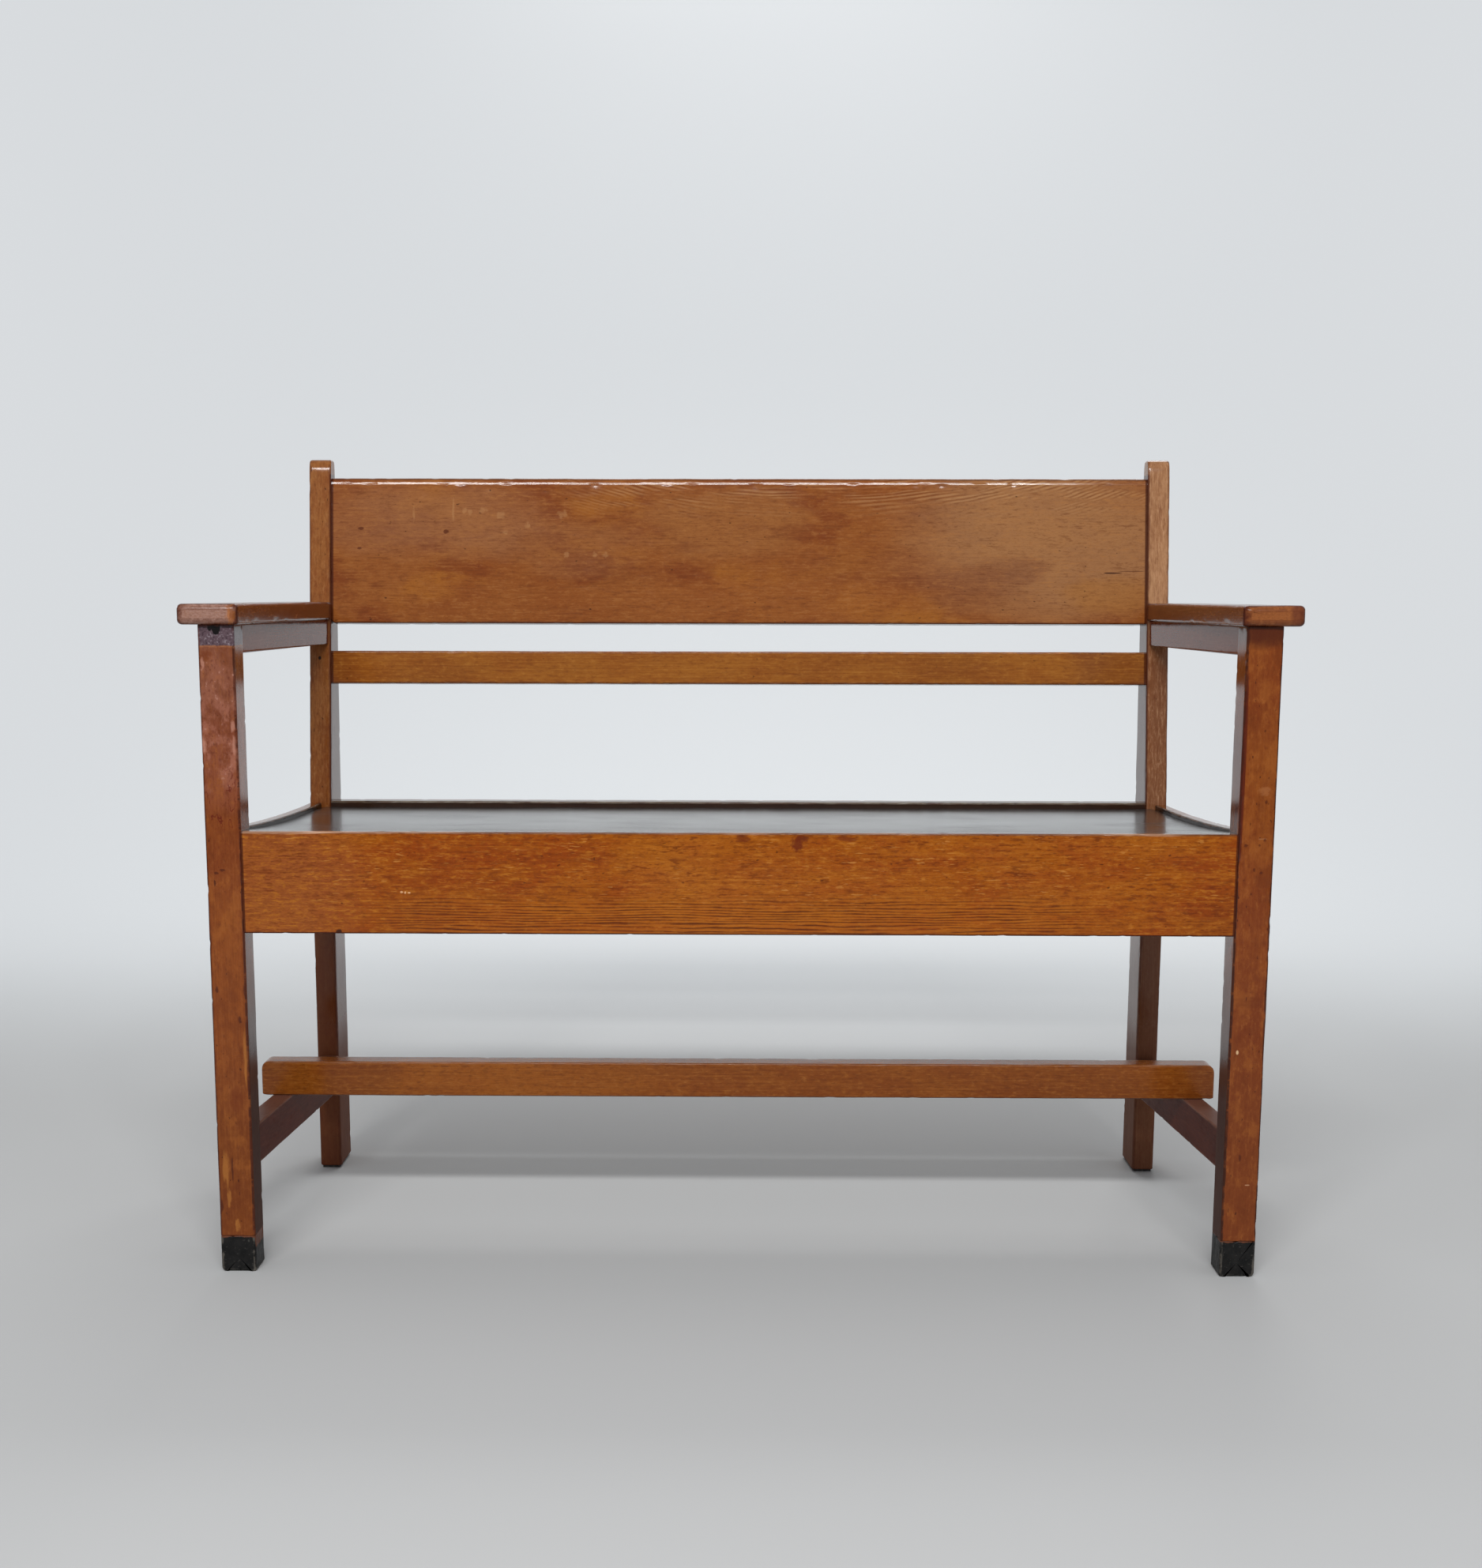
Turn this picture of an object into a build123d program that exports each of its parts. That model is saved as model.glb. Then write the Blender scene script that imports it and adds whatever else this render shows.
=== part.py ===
from build123d import *
import os
from math import hypot, sqrt, tan, radians

os.makedirs("parts", exist_ok=True)

# A two-seat bench in oak: joined frame, open arms, raked back, dished black seat and H stretcher.
# Millimetres, +Z up, front towards -Y. The origin is on the floor, under the middle of the whole bench.

# Plan of the frame, over the outer faces of the legs
front_width = 1062.0
rear_set_in = 25.5
rear_leg_set_back = 363.0

# Heights above the floor
seat_height = 457.0
arm_height = 681.5
post_height = 847.0

# Front legs and their black foot blocks
front_leg_width = 36.0
front_leg_depth = 36.0
foot_height = 38.0
sole_channel_width = 26.0
sole_channel_depth = 1.6
leg_arris = 2.0

# Rear legs, which run on as the back posts, and the pads under them
rear_leg_thickness = 25.5
rear_leg_depth = 61.5
rake_start = 450.0
back_lean = 53.0
post_top_depth = 24.0
post_top_round = 9.0
post_arris = 3.0
pad_thickness = 3.0
pad_inset = 2.5

# Seat rails
rail_thickness = 22.0
rail_height = 103.0
rail_arris = 2.0
back_rail_step = 8.0
side_rail_step = 2.0
side_rail_hollow = 9.0
side_rail_low_depth = 285.0

# Dished seat board, let into the rails
seat_thickness = 8.0
seat_front_step = 0.5
seat_dish = 16.0
seat_low_depth = 270.0
front_lip = 10.0
side_lip = 14.0
seat_gap = 0.4

# Seat bearer, cleats and corner blocks, all under the seat board
bearer_thickness = 22.0
bearer_height = 60.0
bearer_tenon_height = 30.0
cleat_depth = 22.0
cleat_height = 34.0
cleat_end_gap = 6.0
front_block_reach = 66.0
rear_block_reach = 52.0
block_height = 30.0
block_rise = 6.0

# Arms and the rails under them
arm_overhang = 8.0
arm_width = 60.0
arm_thickness = 20.5
arm_inner_overhang = 5.5
arm_corner_round = 6.0
arm_arris = 4.5
arm_rail_height = 29.0
arm_rail_thickness = 18.0
arm_rail_set_in = 3.0

# Back board and back slat, measured up the rake from where it starts
board_rise = 209.0
board_height = 171.0
board_thickness = 18.0
board_top_round = 8.0
slat_rise = 138.0
slat_height = 38.5
slat_thickness = 16.0
back_set_back = 2.5
back_arris = 2.0

# Stretchers
side_stretcher_rise = 97.0
side_stretcher_height = 43.0
side_stretcher_thickness = 22.0
long_stretcher_overhang = 11.5
long_stretcher_height = 38.5
long_stretcher_depth = 26.0
long_stretcher_set_back = 177.0
long_stretcher_end_round = 8.0
stretcher_arris = 1.5

# Mortise and tenon joints
tenon_thickness = 8.0
tenon_shoulder = 8.0
arm_rail_tenon_shoulder = 4.0
rail_tenon_length = 18.0
side_tenon_length = 12.0
back_tenon_length = 10.0
stub_tenon_length = 8.0
joint_gap = 0.15
mortise_spare = 1.0

# Dowels
foot_dowel_diameter = 12.0
foot_dowel_length = 44.0
arm_dowel_diameter = 9.0
arm_dowel_length = 36.0
arm_dowel_in_arm = 14.0
post_dowel_diameter = 8.0
post_dowel_length = 36.0
dowel_gap = 0.1
dowel_end_gap = 1.0

# Countersunk wood screws
screw_diameter = 4.0
screw_head_diameter = 8.0
screw_head_angle = 82.0
screw_point_length = 5.0
screw_tip_diameter = 0.6
screw_gap = 0.1
screw_head_gap = 0.3
screw_sink = 4.0
block_screw_length = 24.0
block_screw_inset = 18.0
block_screw_grip = 12.0
cleat_screw_length = 32.0
seat_screw_length = 38.0
seat_screw_shift = 24.0
stretcher_screw_length = 56.0
screws_per_cleat = 3

# One overrun for every cut that passes right through
overrun = 5.0

# Places that follow from the sizes above
sides = (("left", -1), ("right", 1))
overall_depth = arm_overhang + rear_leg_set_back + back_lean + post_top_depth
front_y = arm_overhang - overall_depth / 2
rear_y = front_y + rear_leg_set_back
front_leg_back_y = front_y + front_leg_depth
front_leg_middle_y = front_y + front_leg_depth / 2
half_front = front_width / 2
half_rear = half_front - rear_set_in
front_inner_x = half_front - front_leg_width
rear_inner_x = half_rear - rear_leg_thickness
front_leg_x = half_front - front_leg_width / 2
rear_leg_x = half_rear - rear_leg_thickness / 2
splay = rear_set_in / (rear_y - front_leg_back_y)
arm_bottom = arm_height - arm_thickness
arm_rail_bottom = arm_bottom - arm_rail_height
rail_bottom = seat_height - rail_height
back_rail_top = seat_height - back_rail_step
side_stretcher_top = side_stretcher_rise + side_stretcher_height
long_stretcher_y = front_y + long_stretcher_set_back
long_stretcher_middle_y = long_stretcher_y + long_stretcher_depth / 2

# The rake of the back: a plane seen from the side, whose first axis runs up the posts' front faces
rake_height = post_height - rake_start
rake_length = hypot(rake_height, back_lean)
rake_plane = Plane(
    origin=(0, rear_y, rake_start),
    x_dir=(0, back_lean / rake_length, rake_height / rake_length),
    z_dir=(-1, 0, 0),
)


def post_front_y(z):
    """Depth of a back post's front face at height z."""
    return rear_y + (z - rake_start) * back_lean / rake_height


def rail_x(y, inset=0):
    """Outer face of a side seat rail at depth y, flush with both legs, or a line set in from it."""
    return half_front - inset - splay * (y - front_leg_back_y)


def stretcher_x(y):
    """Outer face of a side stretcher, whose inner face meets the rear leg's inner face."""
    return rail_x(y, rear_leg_thickness - side_stretcher_thickness)


def arm_rail_x(y):
    """Outer face of a rail under an arm, set in a little from the inner faces of leg and post."""
    slope = (front_inner_x - rear_inner_x) / (post_front_y(arm_bottom) - front_leg_back_y)
    return front_inner_x + arm_rail_set_in + arm_rail_thickness - slope * (y - front_leg_back_y)


def arm_x(y):
    """Outer edge of an arm, which overhangs the front leg inwards and meets the post's inner face."""
    inner_x = front_inner_x - arm_inner_overhang
    slope = (inner_x - rear_inner_x) / (post_front_y(arm_bottom) - front_y)
    return inner_x + arm_width - slope * (y - front_y)


def strip(sign, outer_x, y_low, y_high, thickness):
    """Plan of a board beside the seat, inwards from the line outer_x, on the side given by sign."""
    Polygon(
        (sign * outer_x(y_low), y_low),
        (sign * outer_x(y_high), y_high),
        (sign * (outer_x(y_high) - thickness), y_high),
        (sign * (outer_x(y_low) - thickness), y_low),
    )


def rectangle_between(a_low, a_high, b_low, b_high):
    """Rectangle in the open sketch, from its low corner to its high corner."""
    with Locations(((a_low + a_high) / 2, (b_low + b_high) / 2)):
        Rectangle(a_high - a_low, b_high - b_low)


def behind_posts():
    """Side view of all that lies behind the raked front faces of the posts."""
    far_y = rear_y + rear_leg_set_back
    with BuildSketch(Plane.YZ) as region:
        Polygon(
            (post_front_y(rake_start), rake_start),
            (post_front_y(post_height), post_height),
            (far_y, post_height),
            (far_y, rake_start),
        )
    return region.sketch


def finish_piece(piece, name):
    """Names a finished piece and writes it out."""
    piece.part.label = name
    export_step(piece.part, f"parts/{name}.step")


# Tenons are drawn once: plain for the tenon, and with the joint gap for its mortise


def front_rail_tenon(gap=0):
    """Section of the front rail's tenons, through its middle."""
    middle = front_y + rail_thickness / 2
    half = tenon_thickness / 2 + gap
    high = seat_height - 2 * tenon_shoulder
    with BuildSketch(Plane.YZ) as section:
        rectangle_between(middle - half, middle + half, rail_bottom + tenon_shoulder - gap, high + gap)
    return section.sketch


def back_rail_tenon(gap=0):
    """Section of the back rail's tenons, along its rear face, clear of the side rails' tenons."""
    back = rear_y + rail_thickness
    high = back_rail_top - tenon_shoulder
    with BuildSketch(Plane.YZ) as section:
        rectangle_between(
            back - tenon_thickness - gap, back + gap, rail_bottom + tenon_shoulder - gap, high + gap
        )
    return section.sketch


def raked_tenon(rise, height, thickness, gap=0):
    """Section of the tenons of a board in the back."""
    low = rise + tenon_shoulder - gap
    high = rise + height - tenon_shoulder + gap
    middle = back_set_back + thickness / 2
    half = tenon_thickness / 2 + gap
    with BuildSketch(rake_plane) as section:
        rectangle_between(low, high, middle - half, middle + half)
    return section.sketch


def bearer_tenon(gap=0, spare=0):
    """Section of the stub tenons of the seat bearer, which reach into the front and back rails."""
    low = bearer_bottom + tenon_shoulder
    with BuildSketch(Plane.YZ) as section:
        rectangle_between(
            front_y + rail_thickness - stub_tenon_length - spare,
            rear_y + stub_tenon_length + spare,
            low - gap,
            low + bearer_tenon_height + gap,
        )
    return section.sketch


def side_tenon(sign, outer_x, shoulder, low, high, rear_end, gap=0, spare=0, mode=Mode.ADD):
    """Both tenons of a board beside the seat, in one tongue set in by a shoulder from its outer face."""

    def tenon_x(y):
        return outer_x(y) - shoulder + gap

    front_end = front_leg_back_y - side_tenon_length - spare
    with BuildSketch(Plane.XY.offset(low - gap)) as plan:
        strip(sign, tenon_x, front_end, rear_end + spare, tenon_thickness + 2 * gap)
    extrude(plan.sketch, amount=high - low + 2 * gap, mode=mode)


def side_rail_tenon(sign, **fit):
    """Tenons of a side seat rail, through its middle."""
    shoulder = (rail_thickness - tenon_thickness) / 2
    low = rail_bottom + tenon_shoulder
    high = back_rail_top - 2 * tenon_shoulder
    side_tenon(sign, rail_x, shoulder, low, high, rear_y + side_tenon_length, **fit)


def side_stretcher_tenon(sign, **fit):
    """Tenons of a side stretcher, through its middle."""
    shoulder = (side_stretcher_thickness - tenon_thickness) / 2
    low = side_stretcher_rise + tenon_shoulder
    high = side_stretcher_top - tenon_shoulder
    side_tenon(sign, stretcher_x, shoulder, low, high, rear_y + side_tenon_length, **fit)


def arm_rail_tenon(sign, **fit):
    """Tenons of a rail under an arm, flush with its outer face, clear of the tenons in the back."""
    low = arm_rail_bottom + arm_rail_tenon_shoulder
    high = arm_bottom - tenon_shoulder
    rear_end = post_front_y(arm_rail_bottom) + side_tenon_length
    side_tenon(sign, arm_rail_x, 0, low, high, rear_end, **fit)


def side_mortises(sign):
    """Cuts the mortises for all boards beside the seat in the open leg."""
    fit = {"gap": joint_gap, "spare": mortise_spare, "mode": Mode.SUBTRACT}
    side_rail_tenon(sign, **fit)
    side_stretcher_tenon(sign, **fit)
    arm_rail_tenon(sign, **fit)


# Dowels start on a plane that faces the way they are driven

from_start = (Align.CENTER, Align.CENTER, Align.MIN)


def foot_dowel_planes():
    """Up from the middle of each front foot block."""
    start_z = foot_height - foot_dowel_length / 2
    return [Plane((sign * front_leg_x, front_leg_middle_y, start_z)) for side, sign in sides]


def arm_dowel_planes():
    """Up from each front leg into the arm on it, in front of the arm rail's tenon."""
    start_z = arm_bottom + arm_dowel_in_arm - arm_dowel_length
    start_y = front_leg_middle_y - side_tenon_length / 2
    return [Plane((sign * front_leg_x, start_y, start_z)) for side, sign in sides]


def post_dowel_planes():
    """Back from the end of each arm into the post behind it, beside the tenons of the back."""
    start_z = arm_bottom + arm_thickness / 2
    start_y = post_front_y(start_z) - post_dowel_length / 2
    middle_x = (rear_inner_x + back_tenon_length + mortise_spare + half_rear) / 2
    return [Plane((sign * middle_x, start_y, start_z), z_dir=(0, 1, 0)) for side, sign in sides]


def dowels(planes, diameter, length):
    """Round pegs in the open part."""
    with Locations(*planes):
        Cylinder(diameter / 2, length, align=from_start)


def dowel_holes(planes, diameter, length):
    """Holes for round pegs, a little wide and deep."""
    with Locations(*[plane.offset(-dowel_end_gap) for plane in planes]):
        Cylinder(
            diameter / 2 + dowel_gap, length + 2 * dowel_end_gap, align=from_start, mode=Mode.SUBTRACT
        )


# Screws start on the plane of their head, which faces away from the way they are driven

from_head = (Align.CENTER, Align.CENTER, Align.MAX)


def block_screw_planes():
    """Two screws in each corner block: one into the cross rail and one into the side rail."""
    planes = []
    front_corner_y = front_y + rail_thickness
    middle_z = rail_bottom + block_rise + block_height / 2
    for corner_y, reach, inwards in (
        (front_corner_y, front_block_reach, 1),
        (rear_y, rear_block_reach, -1),
    ):
        cross_x = rail_x(corner_y, rail_thickness) - reach + block_screw_inset
        cross_y = corner_y + inwards * block_screw_grip
        beside_y = corner_y + inwards * (reach - block_screw_inset)
        beside_x = rail_x(beside_y, rail_thickness) - block_screw_grip
        for side, sign in sides:
            planes.append(Plane((sign * cross_x, cross_y, middle_z), z_dir=(0, inwards, 0)))
            planes.append(Plane((sign * beside_x, beside_y, middle_z), z_dir=(-sign, 0, 0)))
    return planes


def cleat_screw_places():
    """Distances from the middle to the screws of one cleat, evenly spaced."""
    cleat_length = rear_inner_x - cleat_end_gap - bearer_thickness / 2
    step = cleat_length / screws_per_cleat
    return [bearer_thickness / 2 + step * (index + 1 / 2) for index in range(screws_per_cleat)]


def cleat_screw_planes():
    """Back through the cleats into the back rail."""
    head_y = rear_y - cleat_depth + screw_sink
    middle_z = cleat_bottom + cleat_height / 2
    return [
        Plane((sign * x, head_y, middle_z), z_dir=(0, -1, 0)) for side, sign in sides for x in cleat_screw_places()
    ]


def seat_screw_planes():
    """Up through the cleats into the seat board, beside the screws into the rail."""
    middle_y = rear_y - cleat_depth / 2
    return [
        Plane((sign * (x + seat_screw_shift), middle_y, cleat_bottom), z_dir=(0, 0, -1))
        for side, sign in sides
        for x in cleat_screw_places()
    ]


def stretcher_screw_planes():
    """Up through the side stretchers into the long stretcher."""
    middle_x = stretcher_x(long_stretcher_middle_y) - side_stretcher_thickness / 2
    head_z = side_stretcher_rise + screw_sink
    return [
        Plane((sign * middle_x, long_stretcher_middle_y, head_z), z_dir=(0, 0, -1)) for side, sign in sides
    ]


def screws(planes, length):
    """Countersunk screws in the open part: conical head, shank and point."""
    shank_radius = screw_diameter / 2
    head_radius = screw_head_diameter / 2
    head_height = (head_radius - shank_radius) / tan(radians(screw_head_angle / 2))
    with Locations(*planes):
        Cone(shank_radius, head_radius, head_height, align=from_head)
        Cylinder(shank_radius, length - screw_point_length, align=from_head)
    with Locations(*[plane.offset(screw_point_length - length) for plane in planes]):
        Cone(screw_tip_diameter / 2, shank_radius, screw_point_length, align=from_head)


def screw_holes(planes, length):
    """Countersunk holes for screws, open on the side of the head."""
    with Locations(*planes):
        CounterSinkHole(
            radius=screw_diameter / 2 + screw_gap,
            counter_sink_radius=screw_head_diameter / 2 + screw_head_gap,
            depth=length + mortise_spare,
            counter_sink_angle=screw_head_angle,
        )


# The hollow of the seat, as an arc seen from the side
seat_front_y = front_y + front_lip
seat_back_y = rear_y - seat_gap
seat_low_y = front_y + seat_low_depth
seat_low_z = seat_height - seat_front_step - seat_dish
seat_underside_z = seat_low_z - seat_thickness
bearer_bottom = seat_underside_z - bearer_height
cleat_bottom = seat_underside_z - cleat_height


def arc_radius(drop, run):
    """Radius of an arc that falls by drop over a level run to its lowest point."""
    return (drop**2 + run**2) / (2 * drop)


def arc_z(y, low_y, low_z, radius):
    """Height at depth y of an arc whose lowest point is at low_y and low_z."""
    return low_z + radius - sqrt(radius**2 - (y - low_y) ** 2)


def seat_arc(y_low, y_high, depth):
    """Points of the seat's arc from y_low to y_high, at a depth below its upper face."""
    low_z = seat_low_z - depth
    radius = arc_radius(seat_dish, seat_low_y - seat_front_y) + depth
    return (
        (y_low, arc_z(y_low, seat_low_y, low_z, radius)),
        (seat_low_y, low_z),
        (y_high, arc_z(y_high, seat_low_y, low_z, radius)),
    )


def seat_plan(room=0):
    """Plan of the seat board, notched round the front legs; room widens it on all sides."""
    leg_y = front_leg_back_y + seat_gap - room
    back_y = seat_back_y + room
    lip = side_lip + seat_gap - room
    front_x = front_inner_x - seat_gap + room
    half_plan = [
        (front_x, seat_front_y - room),
        (front_x, leg_y),
        (rail_x(leg_y, lip), leg_y),
        (rail_x(back_y, lip), back_y),
    ]
    with BuildSketch(Plane.XY.offset(rail_bottom)) as plan:
        Polygon(*half_plan, *[(-x, y) for x, y in reversed(half_plan)])
    return plan.sketch


# The bed of the seat board: the space that it takes out of the rails, bearer and cleats
with BuildPart() as seat_bed:
    bed_top = seat_height + overrun
    bed_arc = seat_arc(seat_front_y - seat_gap, rear_y, seat_thickness)
    with BuildSketch(Plane.YZ):
        with BuildLine():
            ThreePointArc(*bed_arc)
            Polyline(bed_arc[-1], (rear_y, bed_top), (seat_front_y - seat_gap, bed_top), bed_arc[0])
        make_face()
    extrude(amount=half_front, both=True)
    extrude(seat_plan(seat_gap), amount=bed_top - rail_bottom, mode=Mode.INTERSECT)

# Front legs: square posts from the foot block to the arm
for side, sign in sides:
    with BuildPart() as front_leg:
        with BuildSketch(Plane.XY.offset(foot_height)):
            with Locations((sign * front_leg_x, front_leg_middle_y)):
                Rectangle(front_leg_width, front_leg_depth)
        extrude(amount=arm_bottom - foot_height)
        fillet(front_leg.edges().filter_by(Axis.Z), radius=leg_arris)
        mortise_end = front_inner_x + rail_tenon_length + mortise_spare
        extrude(front_rail_tenon(joint_gap), amount=mortise_end, both=True, mode=Mode.SUBTRACT)
        side_mortises(sign)
        dowel_holes(foot_dowel_planes(), foot_dowel_diameter, foot_dowel_length)
        dowel_holes(arm_dowel_planes(), arm_dowel_diameter, arm_dowel_length)
    finish_piece(front_leg, f"front_leg_{side}")

# Black foot blocks under the front legs, each with a shallow channel across its sole
for side, sign in sides:
    with BuildPart() as foot_block:
        with BuildSketch(Plane.XY):
            with Locations((sign * front_leg_x, front_leg_middle_y)):
                Rectangle(front_leg_width, front_leg_depth)
        extrude(amount=foot_height)
        fillet(foot_block.edges().filter_by(Axis.Z), radius=leg_arris)
        with BuildSketch(Plane.XY):
            with Locations((sign * front_leg_x, front_leg_middle_y)):
                Rectangle(sole_channel_width, front_leg_depth + overrun)
        extrude(amount=sole_channel_depth, mode=Mode.SUBTRACT)
        dowel_holes(foot_dowel_planes(), foot_dowel_diameter, foot_dowel_length)
    finish_piece(foot_block, f"foot_block_{side}")

# Rear legs: straight up to the seat, then raked back and tapered to the rounded top of the post
for side, sign in sides:
    with BuildPart() as rear_leg:
        with BuildSketch(Plane.YZ.offset(sign * rear_leg_x)):
            Polygon(
                (rear_y, pad_thickness),
                (rear_y, rake_start),
                (rear_y + back_lean, post_height),
                (rear_y + back_lean + post_top_depth, post_height),
                (rear_y + rear_leg_depth, rake_start),
                (rear_y + rear_leg_depth, pad_thickness),
            )
        extrude(amount=rear_leg_thickness / 2, both=True)
        fillet(rear_leg.edges().filter_by(Axis.X).group_by(Axis.Z)[-1], radius=post_top_round)
        fillet(rear_leg.faces().filter_by(Axis.X).edges(), radius=post_arris)
        mortise_end = rear_inner_x + rail_tenon_length + mortise_spare
        extrude(back_rail_tenon(joint_gap), amount=mortise_end, both=True, mode=Mode.SUBTRACT)
        mortise_end = rear_inner_x + back_tenon_length + mortise_spare
        for section in (
            raked_tenon(board_rise, board_height, board_thickness, joint_gap),
            raked_tenon(slat_rise, slat_height, slat_thickness, joint_gap),
        ):
            extrude(section, amount=mortise_end, both=True, mode=Mode.SUBTRACT)
        side_mortises(sign)
        dowel_holes(post_dowel_planes(), post_dowel_diameter, post_dowel_length)
    finish_piece(rear_leg, f"rear_leg_{side}")

# Thin dark pads under the rear legs
with BuildPart() as rear_pads:
    with BuildSketch(Plane.XY):
        with Locations(*[(sign * rear_leg_x, rear_y + rear_leg_depth / 2) for side, sign in sides]):
            Rectangle(rear_leg_thickness - 2 * pad_inset, rear_leg_depth - 2 * pad_inset)
    extrude(amount=pad_thickness)
finish_piece(rear_pads, "rear_pads")

# Front seat rail: deep, flush with the legs, rebated along the top for the seat board
with BuildPart() as front_rail:
    with BuildSketch(Plane.YZ):
        rectangle_between(front_y, front_y + rail_thickness, rail_bottom, seat_height)
    extrude(amount=front_inner_x, both=True)
    fillet(front_rail.edges().filter_by(Axis.X).group_by(Axis.Y)[0], radius=rail_arris)
    extrude(front_rail_tenon(), amount=front_inner_x + rail_tenon_length, both=True)
    add(seat_bed.part, mode=Mode.SUBTRACT)
    bearer_mortise_half = tenon_thickness / 2 + joint_gap
    extrude(bearer_tenon(joint_gap, mortise_spare), amount=bearer_mortise_half, both=True, mode=Mode.SUBTRACT)
    screw_holes(block_screw_planes(), block_screw_length)
finish_piece(front_rail, "front_seat_rail")

# Back seat rail, a little lower than the front one
with BuildPart() as back_rail:
    with BuildSketch(Plane.YZ):
        rectangle_between(rear_y, rear_y + rail_thickness, rail_bottom, back_rail_top)
    extrude(amount=rear_inner_x, both=True)
    fillet(back_rail.edges().filter_by(Axis.X).group_by(Axis.Z)[-1], radius=rail_arris)
    extrude(back_rail_tenon(), amount=rear_inner_x + rail_tenon_length, both=True)
    extrude(bearer_tenon(joint_gap, mortise_spare), amount=bearer_mortise_half, both=True, mode=Mode.SUBTRACT)
    screw_holes(block_screw_planes(), block_screw_length)
    screw_holes(cleat_screw_planes(), cleat_screw_length)
finish_piece(back_rail, "back_seat_rail")

# Side seat rails: hollowed along the top, with a rebate inside the lip for the seat board
side_top_z = seat_height - side_rail_step
side_low_z = side_top_z - side_rail_hollow
side_low_y = front_y + side_rail_low_depth
side_radius = arc_radius(side_rail_hollow, side_low_y - front_leg_back_y)
side_rear_z = arc_z(rear_y, side_low_y, side_low_z, side_radius)
for side, sign in sides:
    with BuildPart() as side_rail:
        with BuildSketch(Plane.YZ):
            with BuildLine():
                ThreePointArc((front_leg_back_y, side_top_z), (side_low_y, side_low_z), (rear_y, side_rear_z))
                Polyline(
                    (rear_y, side_rear_z),
                    (rear_y, rail_bottom),
                    (front_leg_back_y, rail_bottom),
                    (front_leg_back_y, side_top_z),
                )
            make_face()
        extrude(amount=half_front, both=True)
        with BuildSketch(Plane.XY.offset(rail_bottom)):
            strip(sign, rail_x, front_leg_back_y, rear_y, rail_thickness)
        extrude(amount=rail_height, mode=Mode.INTERSECT)
        broad_faces = side_rail.faces().sort_by(SortBy.AREA)[-2:]
        outer_face = broad_faces.sort_by(Axis.X)[-1 if sign > 0 else 0]
        fillet(outer_face.edges().sort_by(Axis.Y)[1:-1], radius=rail_arris)
        side_rail_tenon(sign)
        add(seat_bed.part, mode=Mode.SUBTRACT)
        screw_holes(block_screw_planes(), block_screw_length)
    finish_piece(side_rail, f"side_seat_rail_{side}")

# Seat board: one bent sheet, hollowed from front to back
with BuildPart() as seat_board:
    upper_arc = seat_arc(seat_front_y, seat_back_y, 0)
    lower_arc = seat_arc(seat_front_y, seat_back_y, seat_thickness)
    with BuildSketch(Plane.YZ):
        with BuildLine():
            ThreePointArc(*upper_arc)
            Line(upper_arc[-1], lower_arc[-1])
            ThreePointArc(*reversed(lower_arc))
            Line(lower_arc[0], upper_arc[0])
        make_face()
    extrude(amount=half_front, both=True)
    extrude(seat_plan(), amount=rail_height, mode=Mode.INTERSECT)
    screw_holes(seat_screw_planes(), seat_screw_length)
finish_piece(seat_board, "seat_board")

# Bearer across the middle of the seat, stub-tenoned into the front and back rails
with BuildPart() as seat_bearer:
    with BuildSketch(Plane.YZ):
        rectangle_between(front_y + rail_thickness, rear_y, bearer_bottom, seat_height)
    extrude(amount=bearer_thickness / 2, both=True)
    add(seat_bed.part, mode=Mode.SUBTRACT)
    extrude(bearer_tenon(), amount=tenon_thickness / 2, both=True)
finish_piece(seat_bearer, "seat_bearer")

# Cleats along the back rail, under the seat board's rear edge
cleat_end_x = rear_inner_x - cleat_end_gap
for side, sign in sides:
    with BuildPart() as cleat:
        with BuildSketch(Plane.YZ.offset(sign * bearer_thickness / 2)):
            rectangle_between(rear_y - cleat_depth, rear_y, cleat_bottom, seat_height)
        extrude(amount=sign * (cleat_end_x - bearer_thickness / 2))
        add(seat_bed.part, mode=Mode.SUBTRACT)
        screw_holes(cleat_screw_planes(), cleat_screw_length)
        screw_holes(seat_screw_planes(), seat_screw_length)
    finish_piece(cleat, f"seat_cleat_{side}")

# Corner blocks inside the seat frame; the front ones are notched round the legs
rail_back_y = front_y + rail_thickness
front_tip_y = rail_back_y + front_block_reach
rear_tip_y = rear_y - rear_block_reach
front_corner = (
    (rail_x(rail_back_y, rail_thickness) - front_block_reach, rail_back_y),
    (front_inner_x, rail_back_y),
    (front_inner_x, front_leg_back_y),
    (rail_x(front_leg_back_y, rail_thickness), front_leg_back_y),
    (rail_x(front_tip_y, rail_thickness), front_tip_y),
)
rear_corner = (
    (rail_x(rear_y, rail_thickness), rear_y),
    (rail_x(rear_y, rail_thickness) - rear_block_reach, rear_y),
    (rail_x(rear_tip_y, rail_thickness), rear_tip_y),
)
for side, sign in sides:
    for end, corner in (("front", front_corner), ("rear", rear_corner)):
        with BuildPart() as corner_block:
            with BuildSketch(Plane.XY.offset(rail_bottom + block_rise)):
                Polygon(*[(sign * x, y) for x, y in corner])
            extrude(amount=block_height)
            screw_holes(block_screw_planes(), block_screw_length)
        finish_piece(corner_block, f"corner_block_{end}_{side}")

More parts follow.
